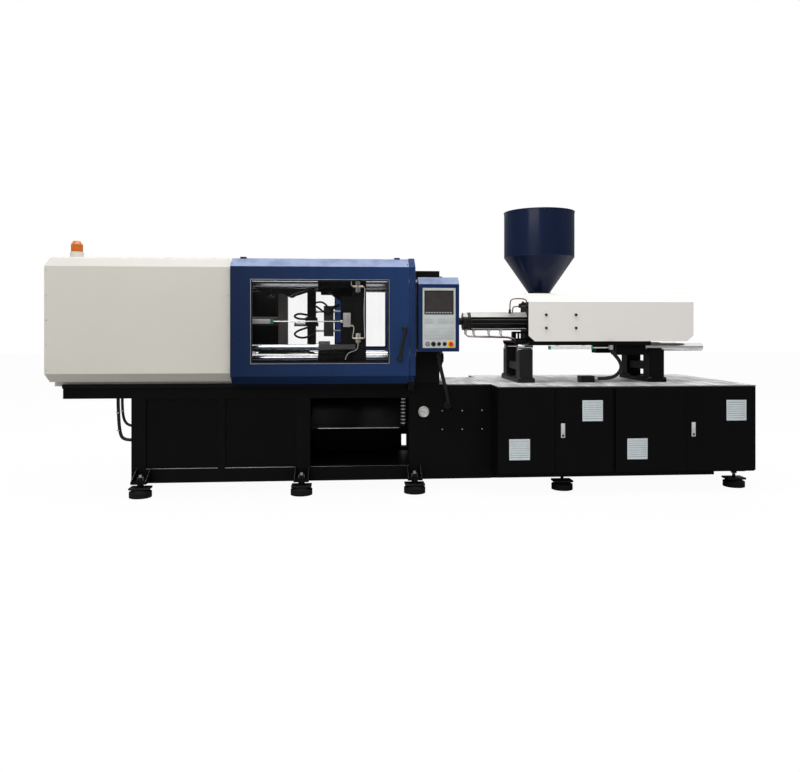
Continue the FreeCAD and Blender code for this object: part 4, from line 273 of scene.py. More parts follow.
# ---------------------------------------------------------------------------
# Finishes
# ---------------------------------------------------------------------------
class Finish(Protocol):
    """What every finish has: a name and a way to make its material."""

    @property
    def name(self) -> str:
        """The material's name."""

    def make(self) -> bpy.types.Material:
        """Build the material."""


def scaled(colour: Colour, share: float, lift: float = 0.0) -> Colour:
    """A colour times a share, plus a lift, held at white."""
    return tuple(min(1.0, part * share + lift) for part in colour)


@dataclass(frozen=True)
class Tone:
    """A second colour of a paint and where it lies, by place and by the way a face looks."""

    colour: Colour
    where: Callable[[Sock, Sock, Sock, Sock, Sock, Sock], Sock]


@dataclass(frozen=True)
class Paint:
    """Sprayed or powder-coated paint with orange peel, dust and worn edges."""

    name: str
    colour: Colour
    roughness: float = 0.38
    peel: float = 0.00012
    dust: float = 0.03
    wear: float = 0.25
    worn: Colour = (0.30, 0.30, 0.30)
    coat: float = 0.0
    grime: float = 0.10
    streaks: float = 0.5
    specular: float = 0.14
    tones: tuple[Tone, ...] = ()
    cloud_waves: float = 1.7
    peel_waves: float = 420.0
    streak_waves: float = 9.0
    streak_stretch: float = 0.12
    chip_waves: float = 38.0
    edge_reach: float = 0.0018
    coat_roughness: float = 0.25
    dulling: float = 0.05

    def make(self) -> bpy.types.Material:
        """Build the material."""
        g = Graph(bpy.data.materials.new(self.name))
        cloud = g.noise(self.cloud_waves, 4.0).ramp(0.35, 0.75)
        fine = g.noise(self.peel_waves)
        streak = g.noise(self.streak_waves, 3.0, (1.0, 1.0, self.streak_stretch)).ramp(0.45, 0.8)
        shade = g.blend(cloud, scaled(self.colour, 1.0 - self.grime), self.colour)
        # Tones paint highlights, shade and light onto the colour, by place and by the way a face looks.
        for tone in self.tones:
            shade = g.blend(tone.where(*g.axes(), *g.facing()), shade, tone.colour)
        shade = g.blend(streak * self.streaks, shade, scaled(self.colour, 1.0, self.dust))
        chips = g.noise(self.chip_waves, 4.0).ramp(0.52, 0.66)
        shade = g.blend(g.edge_wear(self.edge_reach) * chips * self.wear, shade, self.worn)
        rough = self.roughness + cloud * self.dulling + streak * self.dulling + (fine - 0.5) * 0.04
        return g.finish(Base_Color=shade, Roughness=rough, Specular_IOR_Level=self.specular,
                        Coat_Weight=self.coat, Coat_Roughness=self.coat_roughness,
                        Normal=g.bump(fine, self.peel, 0.6))


@dataclass(frozen=True)
class Metal:
    """Bare machined, rolled or chromed metal with grain along one axis."""

    name: str
    colour: Colour
    roughness: float = 0.3
    grain: Point = (1.0, 1.0, 1.0)
    depth: float = 0.00006
    stain: float = 0.15
    metallic: float = 1.0
    grain_waves: float = 260.0
    cloud_waves: float = 6.0

    def make(self) -> bpy.types.Material:
        """Build the material."""
        g = Graph(bpy.data.materials.new(self.name))
        lines = g.noise(self.grain_waves, 3.0, self.grain)
        cloud = g.noise(self.cloud_waves, 4.0).ramp(0.4, 0.75)
        shade = g.blend(cloud, self.colour, scaled(self.colour, 1.0 - self.stain))
        rough = self.roughness + cloud * 0.08 + (lines - 0.5) * 0.1
        return g.finish(Base_Color=shade, Metallic=self.metallic, Roughness=rough,
                        Normal=g.bump(lines, self.depth, 0.5))


@dataclass(frozen=True)
class CheckerPlate:
    """Chequered deck plate with raised lozenges in two directions."""

    name: str = "checker_plate"
    colour: Colour = (0.44, 0.425, 0.43)
    ribs: Colour = (0.88, 0.86, 0.86)
    scuffed: Colour = (0.045, 0.043, 0.043)
    # Painted shade: the plate's edge faces below its top are painted this darker grey.
    rim: Colour = (0.09, 0.09, 0.09)
    top: float = 0.800
    shaded_edge_depth: float = 0.0006
    pitch: float = 0.056
    rise: float = 0.0026
    length_share: float = 0.47
    width_share: float = 0.27
    cloud_waves: float = 3.0
    scuff_waves: float = 11.0
    scuff_stretch: float = 0.30
    scuff_weight: float = 0.45

    def make(self) -> bpy.types.Material:
        """Build the material."""
        g = Graph(bpy.data.materials.new(self.name))
        x, y, z = g.axes()
        bars = []
        for flip, shift in ((1.0, 0.0), (-1.0, 0.5)):
            along = (x + y * flip + shift * self.pitch) * math.sqrt(0.5)
            across = (x - y * flip + shift * self.pitch) * math.sqrt(0.5)
            middle = self.pitch / 2
            a = (along.repeat(self.pitch) - middle).size() * (1.0 / (self.pitch * self.length_share))
            b = (across.repeat(self.pitch) - middle).size() * (1.0 / (self.pitch * self.width_share))
            bars.append(1.0 - (a * a + b * b).ramp(0.55, 1.05))
        rib = bars[0].peak(bars[1])
        cloud = g.noise(self.cloud_waves, 5.0).ramp(0.4, 0.7)
        shade = g.blend(cloud * 0.6, self.colour, scaled(self.colour, 0.72))
        shade = g.blend(rib, shade, self.ribs)
        scuffs = g.noise(self.scuff_waves, 3.0, (1.0, self.scuff_stretch, 1.0)).ramp(0.42, 0.60)
        shade = g.blend(scuffs * self.scuff_weight, shade, self.scuffed)
        # Painted shade on the edge faces below the top.
        shade = g.blend(z.below(self.top - self.shaded_edge_depth), shade, self.rim)
        rough = 0.50 - rib * 0.16 + cloud * 0.08
        return g.finish(Base_Color=shade, Metallic=0.10, Roughness=rough, Specular_IOR_Level=0.3,
                        Normal=g.bump(rib, self.rise))


@dataclass(frozen=True)
class Moulded:
    """Moulded plastic or rubber with a fine grain."""

    name: str
    colour: Colour
    roughness: float = 0.5
    grain: float = 0.00008
    coat: float = 0.0
    glow: float = 0.0
    specular: float = 0.2
    grain_waves: float = 900.0
    cloud_waves: float = 22.0

    def make(self) -> bpy.types.Material:
        """Build the material."""
        g = Graph(bpy.data.materials.new(self.name))
        fine = g.noise(self.grain_waves)
        cloud = g.noise(self.cloud_waves, 3.0).ramp(0.3, 0.8)
        shade = g.blend(cloud, self.colour, scaled(self.colour, 1.12, 0.004))
        rough = self.roughness + (cloud - 0.5) * 0.08
        return g.finish(Base_Color=shade, Roughness=rough, Specular_IOR_Level=self.specular,
                        Coat_Weight=self.coat, Emission_Color=(*self.colour, 1.0),
                        Emission_Strength=self.glow,
                        Normal=g.bump(fine, self.grain, 0.6))


@dataclass(frozen=True)
class ClearSheet:
    """Clear window sheet with faint wipe marks."""

    name: str = "clear_sheet"
    colour: Colour = (0.03, 0.035, 0.04)
    alpha: float = 0.035
    wipe_waves: float = 14.0

    def make(self) -> bpy.types.Material:
        """Build the material."""
        g = Graph(bpy.data.materials.new(self.name))
        wipe = g.noise(self.wipe_waves, 5.0, (1.0, 1.0, 0.3)).ramp(0.45, 0.8)
        return g.finish(Base_Color=(*self.colour, 1.0), Roughness=0.04 + wipe * 0.12,
                        Specular_IOR_Level=0.3, Alpha=wipe * (self.alpha * 0.5) + self.alpha * 0.6)


@dataclass(frozen=True)
class HopperPaint:
    """Deep gloss paint of a spun hopper, with a sagging clear coat."""

    name: str = "hopper_navy"
    colour: Colour = (0.0045, 0.0100, 0.0330)
    sag_waves: float = 7.0
    sag_depth: float = 0.0022
    fine_waves: float = 300.0

    def make(self) -> bpy.types.Material:
        """Build the material."""
        g = Graph(bpy.data.materials.new(self.name))
        sag = g.noise(self.sag_waves, 2.0, (1.0, 1.0, 0.25))
        fine = g.noise(self.fine_waves)
        lit = g.blend(sag.ramp(0.3, 0.8), self.colour, scaled(self.colour, 1.35))
        return g.finish(Base_Color=lit, Roughness=fine * 0.06 + 0.26, Specular_IOR_Level=0.10,
                        Coat_Weight=0.22, Coat_Roughness=0.12, Normal=g.bump(sag, self.sag_depth, 0.35))


@dataclass(frozen=True)
class Treatment:
    """The colour, metalness and roughness of one zone of a piece."""

    colour: Colour
    metallic: float = 0.0
    roughness: float = 0.4


@dataclass(frozen=True)
class Zoned:
    """One piece with two treatments, parted by a rule on its position."""

    name: str
    base: Treatment
    other: Treatment
    rule: Callable[[Sock, Sock, Sock], Sock]
    # Light worn edges; on the barrel's shield they are also a painted edge highlight.
    edges: float = 0.15
    grain: float = 0.0001
    grain_waves: float = 320.0
    cloud_waves: float = 14.0
    chip_waves: float = 30.0
    edge_reach: float = 0.0020
    worn: Colour = (0.30, 0.30, 0.29)

    def make(self) -> bpy.types.Material:
        """Build the material."""
        g = Graph(bpy.data.materials.new(self.name))
        zone = self.rule(*g.axes())
        fine = g.noise(self.grain_waves, 3.0)
        cloud = g.noise(self.cloud_waves, 4.0).ramp(0.35, 0.75)
        clouded = g.blend(cloud, self.other.colour, scaled(self.other.colour, 0.85))
        shade = g.blend(zone, self.base.colour, clouded)
        chips = g.noise(self.chip_waves, 3.0).ramp(0.40, 0.60)
        shade = g.blend(g.edge_wear(self.edge_reach) * chips * self.edges, shade, self.worn)
        rough = zone * (self.other.roughness - self.base.roughness) + self.base.roughness + cloud * 0.06
        shine = zone * (self.other.metallic - self.base.metallic) + self.base.metallic
        return g.finish(Base_Color=shade, Roughness=rough, Metallic=shine, Specular_IOR_Level=0.12,
                        Normal=g.bump(fine, self.grain, 0.5))


def near(first: Sock, second: Sock, reach: float) -> Sock:
    """One where a distance of two parts is within a reach."""
    return (first * first + second * second).below(reach * reach)


def sloped(x: Sock, y: Sock, z: Sock, i: Sock, j: Sock, k: Sock) -> Sock:
    """One on faces that slope upwards, zero on level and upright ones."""
    return k.ramp(0.30, 0.50) * (1.0 - k.ramp(0.85, 0.95))


# Painted shade: beige faces that slope upwards are painted a darker grey.
BEIGE_SLOPE_SHADE = Tone((0.49, 0.475, 0.445), sloped)
# Painted highlight: blue faces that slope upwards are painted pale blue, as if they reflected the light
# above.
BLUE_SLOPE_HIGHLIGHT = Tone((0.215, 0.265, 0.405), sloped)
# Painted reflection: the front gate is painted darker on the left and lighter towards the right.
GATE_LIGHT_RAMP = Tone((0.0149, 0.0405, 0.1276), lambda x, y, z, i, j, k: x.ramp(-1.30, 0.05))
# Painted light: the rear gate's faces that look inwards are painted a lighter blue, as if lit.
INNER_LIGHT = Tone((0.050, 0.105, 0.330), lambda x, y, z, i, j, k: j.below(-0.5))
BEIGE = Paint("beige_paint", (0.605, 0.587, 0.526), roughness=0.42, grime=0.04, wear=0.1, dust=0.03,
              streaks=0.1, specular=0.25, tones=(BEIGE_SLOPE_SHADE,))
BLUE = Paint("blue_paint", (0.0085, 0.0240, 0.0860), roughness=0.34, wear=0.15, dust=0.004, specular=0.10,
             worn=(0.05, 0.08, 0.16), tones=(BLUE_SLOPE_HIGHLIGHT,))
# The front gate's darker blue is the left end of that painted reflection.
GATE_BLUE = replace(BLUE, name="gate_blue", colour=(0.0068, 0.0178, 0.0553), tones=(GATE_LIGHT_RAMP, BLUE_SLOPE_HIGHLIGHT))
REAR_BLUE = replace(BLUE, name="rear_gate_blue", tones=(BLUE_SLOPE_HIGHLIGHT, INNER_LIGHT))
BLACK = Paint("black_paint", (0.0036, 0.0036, 0.0038), roughness=0.42, wear=0.15, dust=0.0015,
              worn=(0.06, 0.06, 0.06), specular=0.06)
DOOR_BLACK = Paint("door_black", (0.0032, 0.0032, 0.0034), roughness=0.38, wear=0.12, dust=0.0012,
                   worn=(0.05, 0.05, 0.05), specular=0.06)
CASTING = Paint("platen_black", (0.0065, 0.0058, 0.0054), roughness=0.42, peel=0.0004, wear=0.4, dust=0.004,
                worn=(0.10, 0.095, 0.09), specular=0.08)
LINK = Paint("link_black", (0.0100, 0.0092, 0.0086), roughness=0.34, peel=0.0003, wear=0.6, dust=0.005,
             worn=(0.18, 0.17, 0.16), specular=0.15)
LIGHT_GREY = Paint("cover_grey", (0.790, 0.768, 0.728), roughness=0.40, grime=0.03, wear=0.08, dust=0.02,
                   streaks=0.1, specular=0.25)
GUARD = Paint("guard_black", (0.008, 0.008, 0.009), roughness=0.20, wear=0.4, dust=0.003, specular=0.3,
              worn=(0.12, 0.12, 0.12))
# Black sheet painted darker still, with little sheen: painted shade inside the drop bay.
SHADED_CHUTE = Paint("chute_sheet", (0.0011, 0.0011, 0.0012), roughness=0.45, wear=0.4, dust=0.0004,
              worn=(0.35, 0.35, 0.35), specular=0.02)
DRIVE_GREY = Paint("drive_grey", (0.42, 0.42, 0.40), roughness=0.5, wear=0.1, streaks=0.1)
TAUPE = Paint("taupe_lining", (0.115, 0.105, 0.098), roughness=0.55, wear=0.1)
RED_MARK = Paint("red_paint", (0.36, 0.02, 0.025), roughness=0.4)
CHROME = Metal("hard_chrome", (0.78, 0.78, 0.78), roughness=0.17, grain=(0.02, 1, 1), depth=0.000004,
               stain=0.05)
STEEL = Metal("machined_steel", (0.40, 0.40, 0.40), roughness=0.30, grain=(0.15, 1, 1))
ZINC = Metal("zinc_plate", (0.60, 0.60, 0.57), roughness=0.34)
DARK_STEEL = Metal("oiled_steel", (0.045, 0.044, 0.043), roughness=0.36, grain=(0.2, 1, 1), metallic=0.6)
ALUMINIUM = Metal("anodised_aluminium", (0.52, 0.52, 0.51), roughness=0.38, grain=(0.02, 1, 1),
                  metallic=0.6)
CAST_ALUMINIUM = Metal("cast_aluminium", (0.66, 0.66, 0.64), roughness=0.36, depth=0.0003, stain=0.3,
                       metallic=0.5)
BRASS = Metal("brass", (0.80, 0.50, 0.22), roughness=0.28)
COPPER = Metal("copper", (0.30, 0.17, 0.12), roughness=0.30)
CHEQUER = CheckerPlate()
RUBBER = Moulded("black_rubber", (0.007, 0.007, 0.007), roughness=0.55, grain=0.0002)
HOSE = Moulded("hose_rubber", (0.008, 0.008, 0.008), roughness=0.38, grain=0.0002)
BLACK_PLASTIC = Moulded("black_plastic", (0.009, 0.009, 0.009), roughness=0.42)
PANEL_GREY = Moulded("panel_grey", (0.48, 0.50, 0.50), roughness=0.45)
KEY_FIELD = Moulded("key_field", (0.43, 0.455, 0.455), roughness=0.5)
KEY_GREY = Moulded("key_grey", (0.470, 0.495, 0.495), roughness=0.5)
SCREEN = Moulded("screen_glass", (0.040, 0.034, 0.033), roughness=0.16, grain=0.00001, coat=0.3)
SCREEN_MARK = Moulded("screen_marks", (0.35, 0.35, 0.34), roughness=0.4)
YELLOW = Moulded("yellow_plate", (0.80, 0.52, 0.02), roughness=0.4)
RED = Moulded("button_red", (0.58, 0.025, 0.04), roughness=0.3, coat=0.4)
GREEN = Moulded("green_cap", (0.012, 0.22, 0.11), roughness=0.4)
AMBER = Moulded("amber_dome", (0.46, 0.115, 0.012), roughness=0.2, coat=0.6, glow=0.12)
PALE = Moulded("pale_plastic", (0.60, 0.58, 0.53), roughness=0.45)
GRILLE = Moulded("grille_grey", (0.56, 0.61, 0.63), roughness=0.45)
LATCH_SILVER = Moulded("latch_silver", (0.52, 0.54, 0.56), roughness=0.35, specular=0.5)
LATCH_BLUE = Moulded("latch_dot", (0.010, 0.030, 0.110), roughness=0.35)
CERAMIC = Moulded("white_ceramic", (0.72, 0.72, 0.70), roughness=0.3, coat=0.3)
DIAL = Moulded("dial_white", (0.58, 0.58, 0.56), roughness=0.35)
CLEAR = ClearSheet()
NAVY = HopperPaint()
STEEL_ZONE = Treatment((0.60, 0.60, 0.59), 0.9, 0.28)
DARK_ZONE = Treatment((0.0040, 0.0039, 0.0038), 0.0, 0.42)
# Painted reflection: the pale colour given to the upper facets round the barrel.
HIGHLIGHT_ZONE = Treatment((0.58, 0.57, 0.55), 0.15, 0.34)
# Underside of the rolled top of the sheets round the barrel; above it the sheets are painted bright, a
# painted reflection of their upper facets.
HIGHLIGHT_LINE = 1.318
FEET = Zoned("foot_rubber_and_steel", Treatment((0.0060, 0.0060, 0.0060), 0.0, 0.6),
             Treatment((0.50, 0.50, 0.48), 0.8, 0.36),
             lambda x, y, z: z.above(0.098) * (
                 (y.size() - 0.475).size().below(0.0125).peak((y.size() - 0.440).size().below(0.0125))))
STAND = Zoned("stand_black_and_chrome", Treatment((0.0125, 0.0125, 0.0125), 0.0, 0.42),
              Treatment((0.84, 0.84, 0.84), 1.0, 0.10),
              lambda x, y, z: near(y.size() - 0.230, z - 1.077, 0.0325))
EJECTOR = Zoned("ejector_black_and_rods", DARK_ZONE, STEEL_ZONE,
                lambda x, y, z: near(y, (z - LINE_HEIGHT).size() - 0.077, 0.0090) * x.above(-0.711))
# Painted reflection on the shield's top and two thin painted highlight lines lower down; its light edges are
# partly wear and partly painted highlight.
SHIELD = Zoned("shield_black_and_painted_highlight", Treatment((0.008, 0.008, 0.009), 0.0, 0.20), HIGHLIGHT_ZONE,
               lambda x, y, z: z.above(HIGHLIGHT_LINE).peak((z - 1.296).size().below(0.0020) * 0.30).peak(
                   (z - 1.264).size().below(0.0016) * 0.15), 0.5)
# Painted reflection: the barrel's top above the highlight line is painted bright like the shield's.
BARREL = Zoned("barrel_heated_and_painted_highlight", Treatment((0.032, 0.024, 0.021), 0.5, 0.42), HIGHLIGHT_ZONE,
               lambda x, y, z: z.above(HIGHLIGHT_LINE), 0.3)
TIE_BARS = Zoned("tie_bars_chrome_and_black", DARK_ZONE, Treatment((0.62, 0.62, 0.62), 1.0, 0.17),
                 lambda x, y, z: x.below(0.235), 0.1, 0.000006)
RAILS = Zoned("rails_black_and_bright", Treatment((0.0018, 0.0018, 0.0019), 0.0, 0.42),
              Treatment((0.90, 0.88, 0.83), 0.0, 0.34), lambda x, y, z: z.above(1.700), 0.0)
SAFETY = Zoned("safety_bar_chrome_and_dark", Treatment((0.085, 0.084, 0.082), 0.4, 0.36),
               Treatment((0.72, 0.72, 0.72), 1.0, 0.12), lambda x, y, z: x.below(-0.6745), 0.3, 0.000008)
POSTS = Zoned("post_blue_and_black", DARK_ZONE, Treatment((0.0130, 0.0350, 0.1100), 0.0, 0.34),
              lambda x, y, z: z.above(0.826))
HYDRAULICS = Zoned("tank_grey_and_black", Treatment((0.16, 0.18, 0.19), 0.0, 0.45),
                   Treatment((0.0075, 0.0075, 0.0075), 0.0, 0.42), lambda x, y, z: z.above(0.790))

NODE_FINISH: dict[Finish, tuple[str, ...]] = {
    BLACK: ("clamp_base", "injection_base", "rear_stand", "injection_carriage"),
    DOOR_BLACK: ("base_panels", "cabinet_door_1", "cabinet_door_2", "cabinet_door_3", "cabinet_door_4"),
    BLUE: ("control_box",),
    GATE_BLUE: ("front_gate",),
    REAR_BLUE: ("rear_gate",),
    POSTS: ("gate_posts",),
    BEIGE: ("clamp_covers",),
    LIGHT_GREY: ("injection_cover",),
    NAVY: ("hopper_body", "hopper_lid"),
    CASTING: ("fixed_platen", "moving_platen", "tail_platen", "clamp_cylinder"),
    LINK: ("rear_link_upper", "rear_link_lower", "front_link_upper", "front_link_lower",
           "crosshead_link_upper", "crosshead_link_lower"),
    TAUPE: ("crosshead",),
    CHROME: ("guide_rods",),
    TIE_BARS: ("tie_bars",),
    SAFETY: ("safety_bar",),
    STEEL: ("screw",),
    BARREL: ("barrel",),
    DARK_STEEL: ("ejector_plate", "injection_slide"),
    RAILS: ("gate_rails",),
    EJECTOR: ("ejector_unit",),
    STAND: ("front_stand",),
    SHIELD: ("barrel_cover",),
    FEET: ("levelling_feet",),
    SHADED_CHUTE: ("product_chute",),
    CERAMIC: ("injection_transducer",),
    CAST_ALUMINIUM: ("lubrication_blocks",),
    ZINC: ("pressure_gauge", "key_switch"),
    CHEQUER: ("deck_plate",),
    DRIVE_GREY: ("switchgear",),
    HYDRAULICS: ("hydraulic_unit",),
    PANEL_GREY: ("control_panel",),
    SCREEN: ("display_screen",),
    RED: ("emergency_stop",),
    BLACK_PLASTIC: ("front_handle", "rear_handle", "selector_knob"),
    HOSE: ("base_hoses", "carriage_hose"),
    CLEAR: ("front_window", "rear_window"),
    AMBER: ("beacon_dome",),
    PALE: ("beacon_base",),
}
MATERIALS: dict[str, bpy.types.Material] = {}


def material_of(finish: Finish) -> bpy.types.Material:
    """Return a finish's material, made once."""
    if finish.name not in MATERIALS:
        MATERIALS[finish.name] = finish.make()
    return MATERIALS[finish.name]


# ---------------------------------------------------------------------------
# The workbench
# ---------------------------------------------------------------------------
def heading(axis: Axis | Vector) -> Vector:
    """The unit direction of an axis or of a vector."""
    return (axis.value if isinstance(axis, Axis) else axis).normalized()


def turned_to(way: Vector) -> Euler:
    """The turn that carries +Z onto a direction."""
    return UP.rotation_difference(way).to_euler()


def nurbs(name: str, points: Sequence[Point], radius: float, rounding: int,
          fineness: int) -> bpy.types.Object:
    """One open, round spline along control points, linked to the scene.

    Args:
        name: the curve's name.
        points: its control points.
        radius: half its thickness.
        rounding: how finely its section is rounded.
        fineness: steps between two control points.

    Returns:
        The curve object.
    """
    curve = bpy.data.curves.new(name, "CURVE")
    curve.dimensions = "3D"
    curve.bevel_depth = radius
    curve.bevel_resolution = rounding
    curve.resolution_u = fineness
    curve.use_fill_caps = True
    spline = curve.splines.new("NURBS")
    spline.points.add(len(points) - 1)
    for spot, point in zip(spline.points, points):
        spot.co = (*point, 1.0)
    spline.order_u = 3
    spline.use_endpoint_u = True
    obj = bpy.data.objects.new(name, curve)
    bpy.context.scene.collection.objects.link(obj)
    return obj


class Bench:
    """Makes pieces with Blender's operators and hands them to their bodies."""

    # The most of a piece's least size that a rounded edge may take.
    MOST_BEVEL = 0.4
    # Height, wall and rounding of a screw head as shares of its width, and the socket's share of its height.
    HEAD_HEIGHT = 0.45
    HEAD_WALL = 0.22
    HEAD_ROUNDING = 0.05
    SOCKET_DEPTH = 0.55
    # Tubes thinner than this get a coarser section.
    THIN_TUBE = 0.004

    def __init__(self) -> None:
        """Start with no pieces."""
        self.made: list[str] = []

    @staticmethod
    def clear() -> None:
        """Deselect everything."""
        for obj in bpy.context.selected_objects:
            obj.select_set(False)

    def pick(self, obj: bpy.types.Object) -> None:
        """Select one object alone and make it the active one."""
        self.clear()
        bpy.context.view_layer.objects.active = obj
        obj.select_set(True)

    @staticmethod
    def settle(obj: bpy.types.Object, size: Point = (1, 1, 1)) -> bpy.types.Object:
        """Give an object its size, then move place, turn and size into its mesh."""
        obj.scale = size
        bpy.context.view_layer.update()
        obj.data.transform(obj.matrix_world)
        obj.matrix_world = Matrix.Identity(4)
        return obj

    def modify(self, obj: bpy.types.Object, kind: str, **settings: object) -> bpy.types.Object:
        """Add a modifier and apply it."""
        modifier = obj.modifiers.new(kind.lower(), kind)
        for key, value in settings.items():
            setattr(modifier, key, value)
        self.pick(obj)
        bpy.ops.object.modifier_apply(modifier=modifier.name)
        return obj

    def soften(self, obj: bpy.types.Object, width: float, segments: int = 2) -> bpy.types.Object:
        """Round the sharp edges and shade by angle."""
        if width > 0:
            self.modify(obj, "BEVEL", width=width, segments=segments, limit_method="ANGLE",
                        angle_limit=BEVEL_ANGLE, use_clamp_overlap=True)
        self.pick(obj)
        bpy.ops.object.shade_smooth_by_angle(angle=SMOOTH_ANGLE)
        return obj

    def block(self, low: Point, high: Point, bevel: float = 0.0015) -> bpy.types.Object:
        """A box between two corners with rounded edges."""
        self.clear()
        middle = [(a + b) / 2 for a, b in zip(low, high)]
        size = [abs(b - a) for a, b in zip(low, high)]
        bpy.ops.mesh.primitive_cube_add(size=1, location=middle)
        return self.soften(self.settle(bpy.context.object, size), min(bevel, min(size) * self.MOST_BEVEL))

    def rod(self, start: Point, axis: Axis | Vector, length: float, radius: float, bevel: float = 0.001,
            sides: int = 32, end_radius: float | None = None) -> bpy.types.Object:
        """A round, conical or prismatic bar from a point along a direction."""
        self.clear()
        way = heading(axis)
        middle = Vector(start) + way * length / 2
        far = radius if end_radius is None else end_radius
        bpy.ops.mesh.primitive_cone_add(vertices=sides, radius1=radius, radius2=far, depth=length,
                                        location=middle, rotation=turned_to(way))
        most = min(length * self.MOST_BEVEL, radius * self.MOST_BEVEL)
        return self.soften(self.settle(bpy.context.object), min(bevel, most))

    def ring(self, centre: Point, axis: Axis, radius: float, thickness: float,
             stretch: float = 1.0) -> bpy.types.Object:
        """A round ring, stretched along its axis by a factor."""
        self.clear()
        bpy.ops.mesh.primitive_torus_add(major_radius=radius, minor_radius=thickness, major_segments=64,
                                         minor_segments=12, location=centre, rotation=turned_to(axis.value))
        return self.soften(self.settle(bpy.context.object, (1, 1, stretch)), 0)

    def dome(self, centre: Point, axis: Axis | Vector, radius: float, flatness: float) -> bpy.types.Object:
        """A rounded head that stands on a point, flattened by a factor."""
        self.clear()
        bpy.ops.mesh.primitive_uv_sphere_add(segments=24, ring_count=12, radius=radius, location=centre,
                                             rotation=turned_to(heading(axis)))
        return self.soften(self.settle(bpy.context.object, (1, 1, flatness)), 0)

    def drawn(self, outline: Sequence[Sequence[float]], axis: Axis, start: float, end: float,
              bevel: float = 0.0015) -> bpy.types.Object:
        """A flat outline drawn along an axis.

        Args:
            outline: corners in the plane's own two axes, in X, Y, Z order.
            axis: the direction of the draw.
            start: where it starts on that axis.
            end: where it ends.
            bevel: edge rounding.

        Returns:
            The piece.
        """
        def spot(corner: Sequence[float]) -> tuple[float, float, float]:
            """Place one outline corner in space."""
            first, second = corner
            return {Axis.X: (start, first, second), Axis.Y: (first, start, second),
                    Axis.Z: (first, second, start)}[axis]
        self.clear()
        bpy.ops.mesh.primitive_circle_add(vertices=len(outline), fill_type="NGON")
        obj = bpy.context.object
        for vertex, corner in zip(obj.data.vertices, outline):
            vertex.co = spot(corner)
        bpy.ops.object.mode_set(mode="EDIT")
        bpy.ops.mesh.select_all(action="SELECT")
        way = axis.value * (end - start)
        bpy.ops.mesh.extrude_region_move(TRANSFORM_OT_translate={"value": tuple(way)})
        bpy.ops.mesh.select_all(action="SELECT")
        bpy.ops.mesh.normals_make_consistent(inside=False)
        bpy.ops.object.mode_set(mode="OBJECT")
        return self.soften(obj, bevel)

    def frame(self, low: Point, high: Point, width: float, bevel: float = 0.001) -> bpy.types.Object:
        """A flat rectangular frame in the XZ plane with its front at the lower Y."""
        (x0, y0, z0), (x1, y1, z1) = low, high
        self.clear()
        bpy.ops.mesh.primitive_plane_add(size=1, location=((x0 + x1) / 2, (y0 + y1) / 2, (z0 + z1) / 2),
                                         rotation=(math.pi / 2, 0, 0))
        obj = self.settle(bpy.context.object, (x1 - x0, z1 - z0, 1))
        bpy.ops.object.mode_set(mode="EDIT")
        bpy.ops.mesh.select_all(action="SELECT")
        bpy.ops.mesh.inset(thickness=width)
        bpy.ops.mesh.delete(type="FACE")
        bpy.ops.object.mode_set(mode="OBJECT")
        self.modify(obj, "SOLIDIFY", thickness=abs(y1 - y0), offset=0.0)
        return self.soften(obj, bevel)

    def tube(self, points: Sequence[Point], radius: float) -> bpy.types.Object:
        """A smooth pipe or wire along control points, as a mesh."""
        rounding = 4 if radius > self.THIN_TUBE else 2
        self.pick(nurbs("route", points, radius, rounding, 8))
        bpy.ops.object.convert(target="MESH")
        return self.soften(bpy.context.object, 0)

    def bolt(self, spot: Point, axis: Axis, head: Head, sign: float = 1.0) -> bpy.types.Object:
        """A cap screw with a sunk socket that stands on a surface."""
        self.clear()
        way = heading(axis) * sign
        across = head.value
        height = across * self.HEAD_HEIGHT
        middle = Vector(spot) + way * height / 2
        bpy.ops.mesh.primitive_cylinder_add(vertices=18, radius=across / 2, depth=height, location=middle,
                                            rotation=turned_to(way))
        obj = self.settle(bpy.context.object)
        bpy.ops.object.mode_set(mode="EDIT")
        bpy.ops.mesh.select_mode(type="FACE")
        bpy.ops.mesh.select_all(action="DESELECT")
        bpy.ops.object.mode_set(mode="OBJECT")
        for face in obj.data.polygons:
            face.select = len(face.vertices) > 4 and face.normal.dot(way) > 0.5
        bpy.ops.object.mode_set(mode="EDIT")
        bpy.ops.mesh.inset(thickness=across * self.HEAD_WALL)
        sunk = -way * height * self.SOCKET_DEPTH
        bpy.ops.mesh.extrude_region_move(TRANSFORM_OT_translate={"value": tuple(sunk)})
        bpy.ops.object.mode_set(mode="OBJECT")
        return self.soften(obj, across * self.HEAD_ROUNDING, 1)

    def hand_over(self, name: str, body: str, finish: Finish, parts: Iterable[bpy.types.Object]) -> None:
        """Join parts into one finished piece that rides on a body.

        Args:
            name: the piece's name.
            body: the body that carries it.
            finish: its finish.
            parts: the objects that make it.
        """
        parts = list(parts)
        self.clear()
        for part in parts:
            part.select_set(True)
        bpy.context.view_layer.objects.active = parts[0]
        if len(parts) > 1:
            bpy.ops.object.join()
        piece = bpy.context.view_layer.objects.active
        piece.name = name
        piece.data.name = name
        piece.data.materials.clear()
        piece.data.materials.append(material_of(finish))
        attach(piece, body)
        self.made.append(name)
        LOG.info("%s: %d faces on %s", name, len(piece.data.polygons), body)


BENCH = Bench()


def steps(start: float, end: float, count: int) -> list[float]:
    """Evenly spaced values with both ends."""
    return [start + (end - start) * i / (count - 1) for i in range(count)]


# ---------------------------------------------------------------------------
# Camera, light and floor
# ---------------------------------------------------------------------------
@dataclass(frozen=True)
class Lamp:
    """A soft box: its name, place, aim, width, depth and watts."""

    name: str
    spot: Point
    aim: Point
    width: float
    depth: float
    power: float


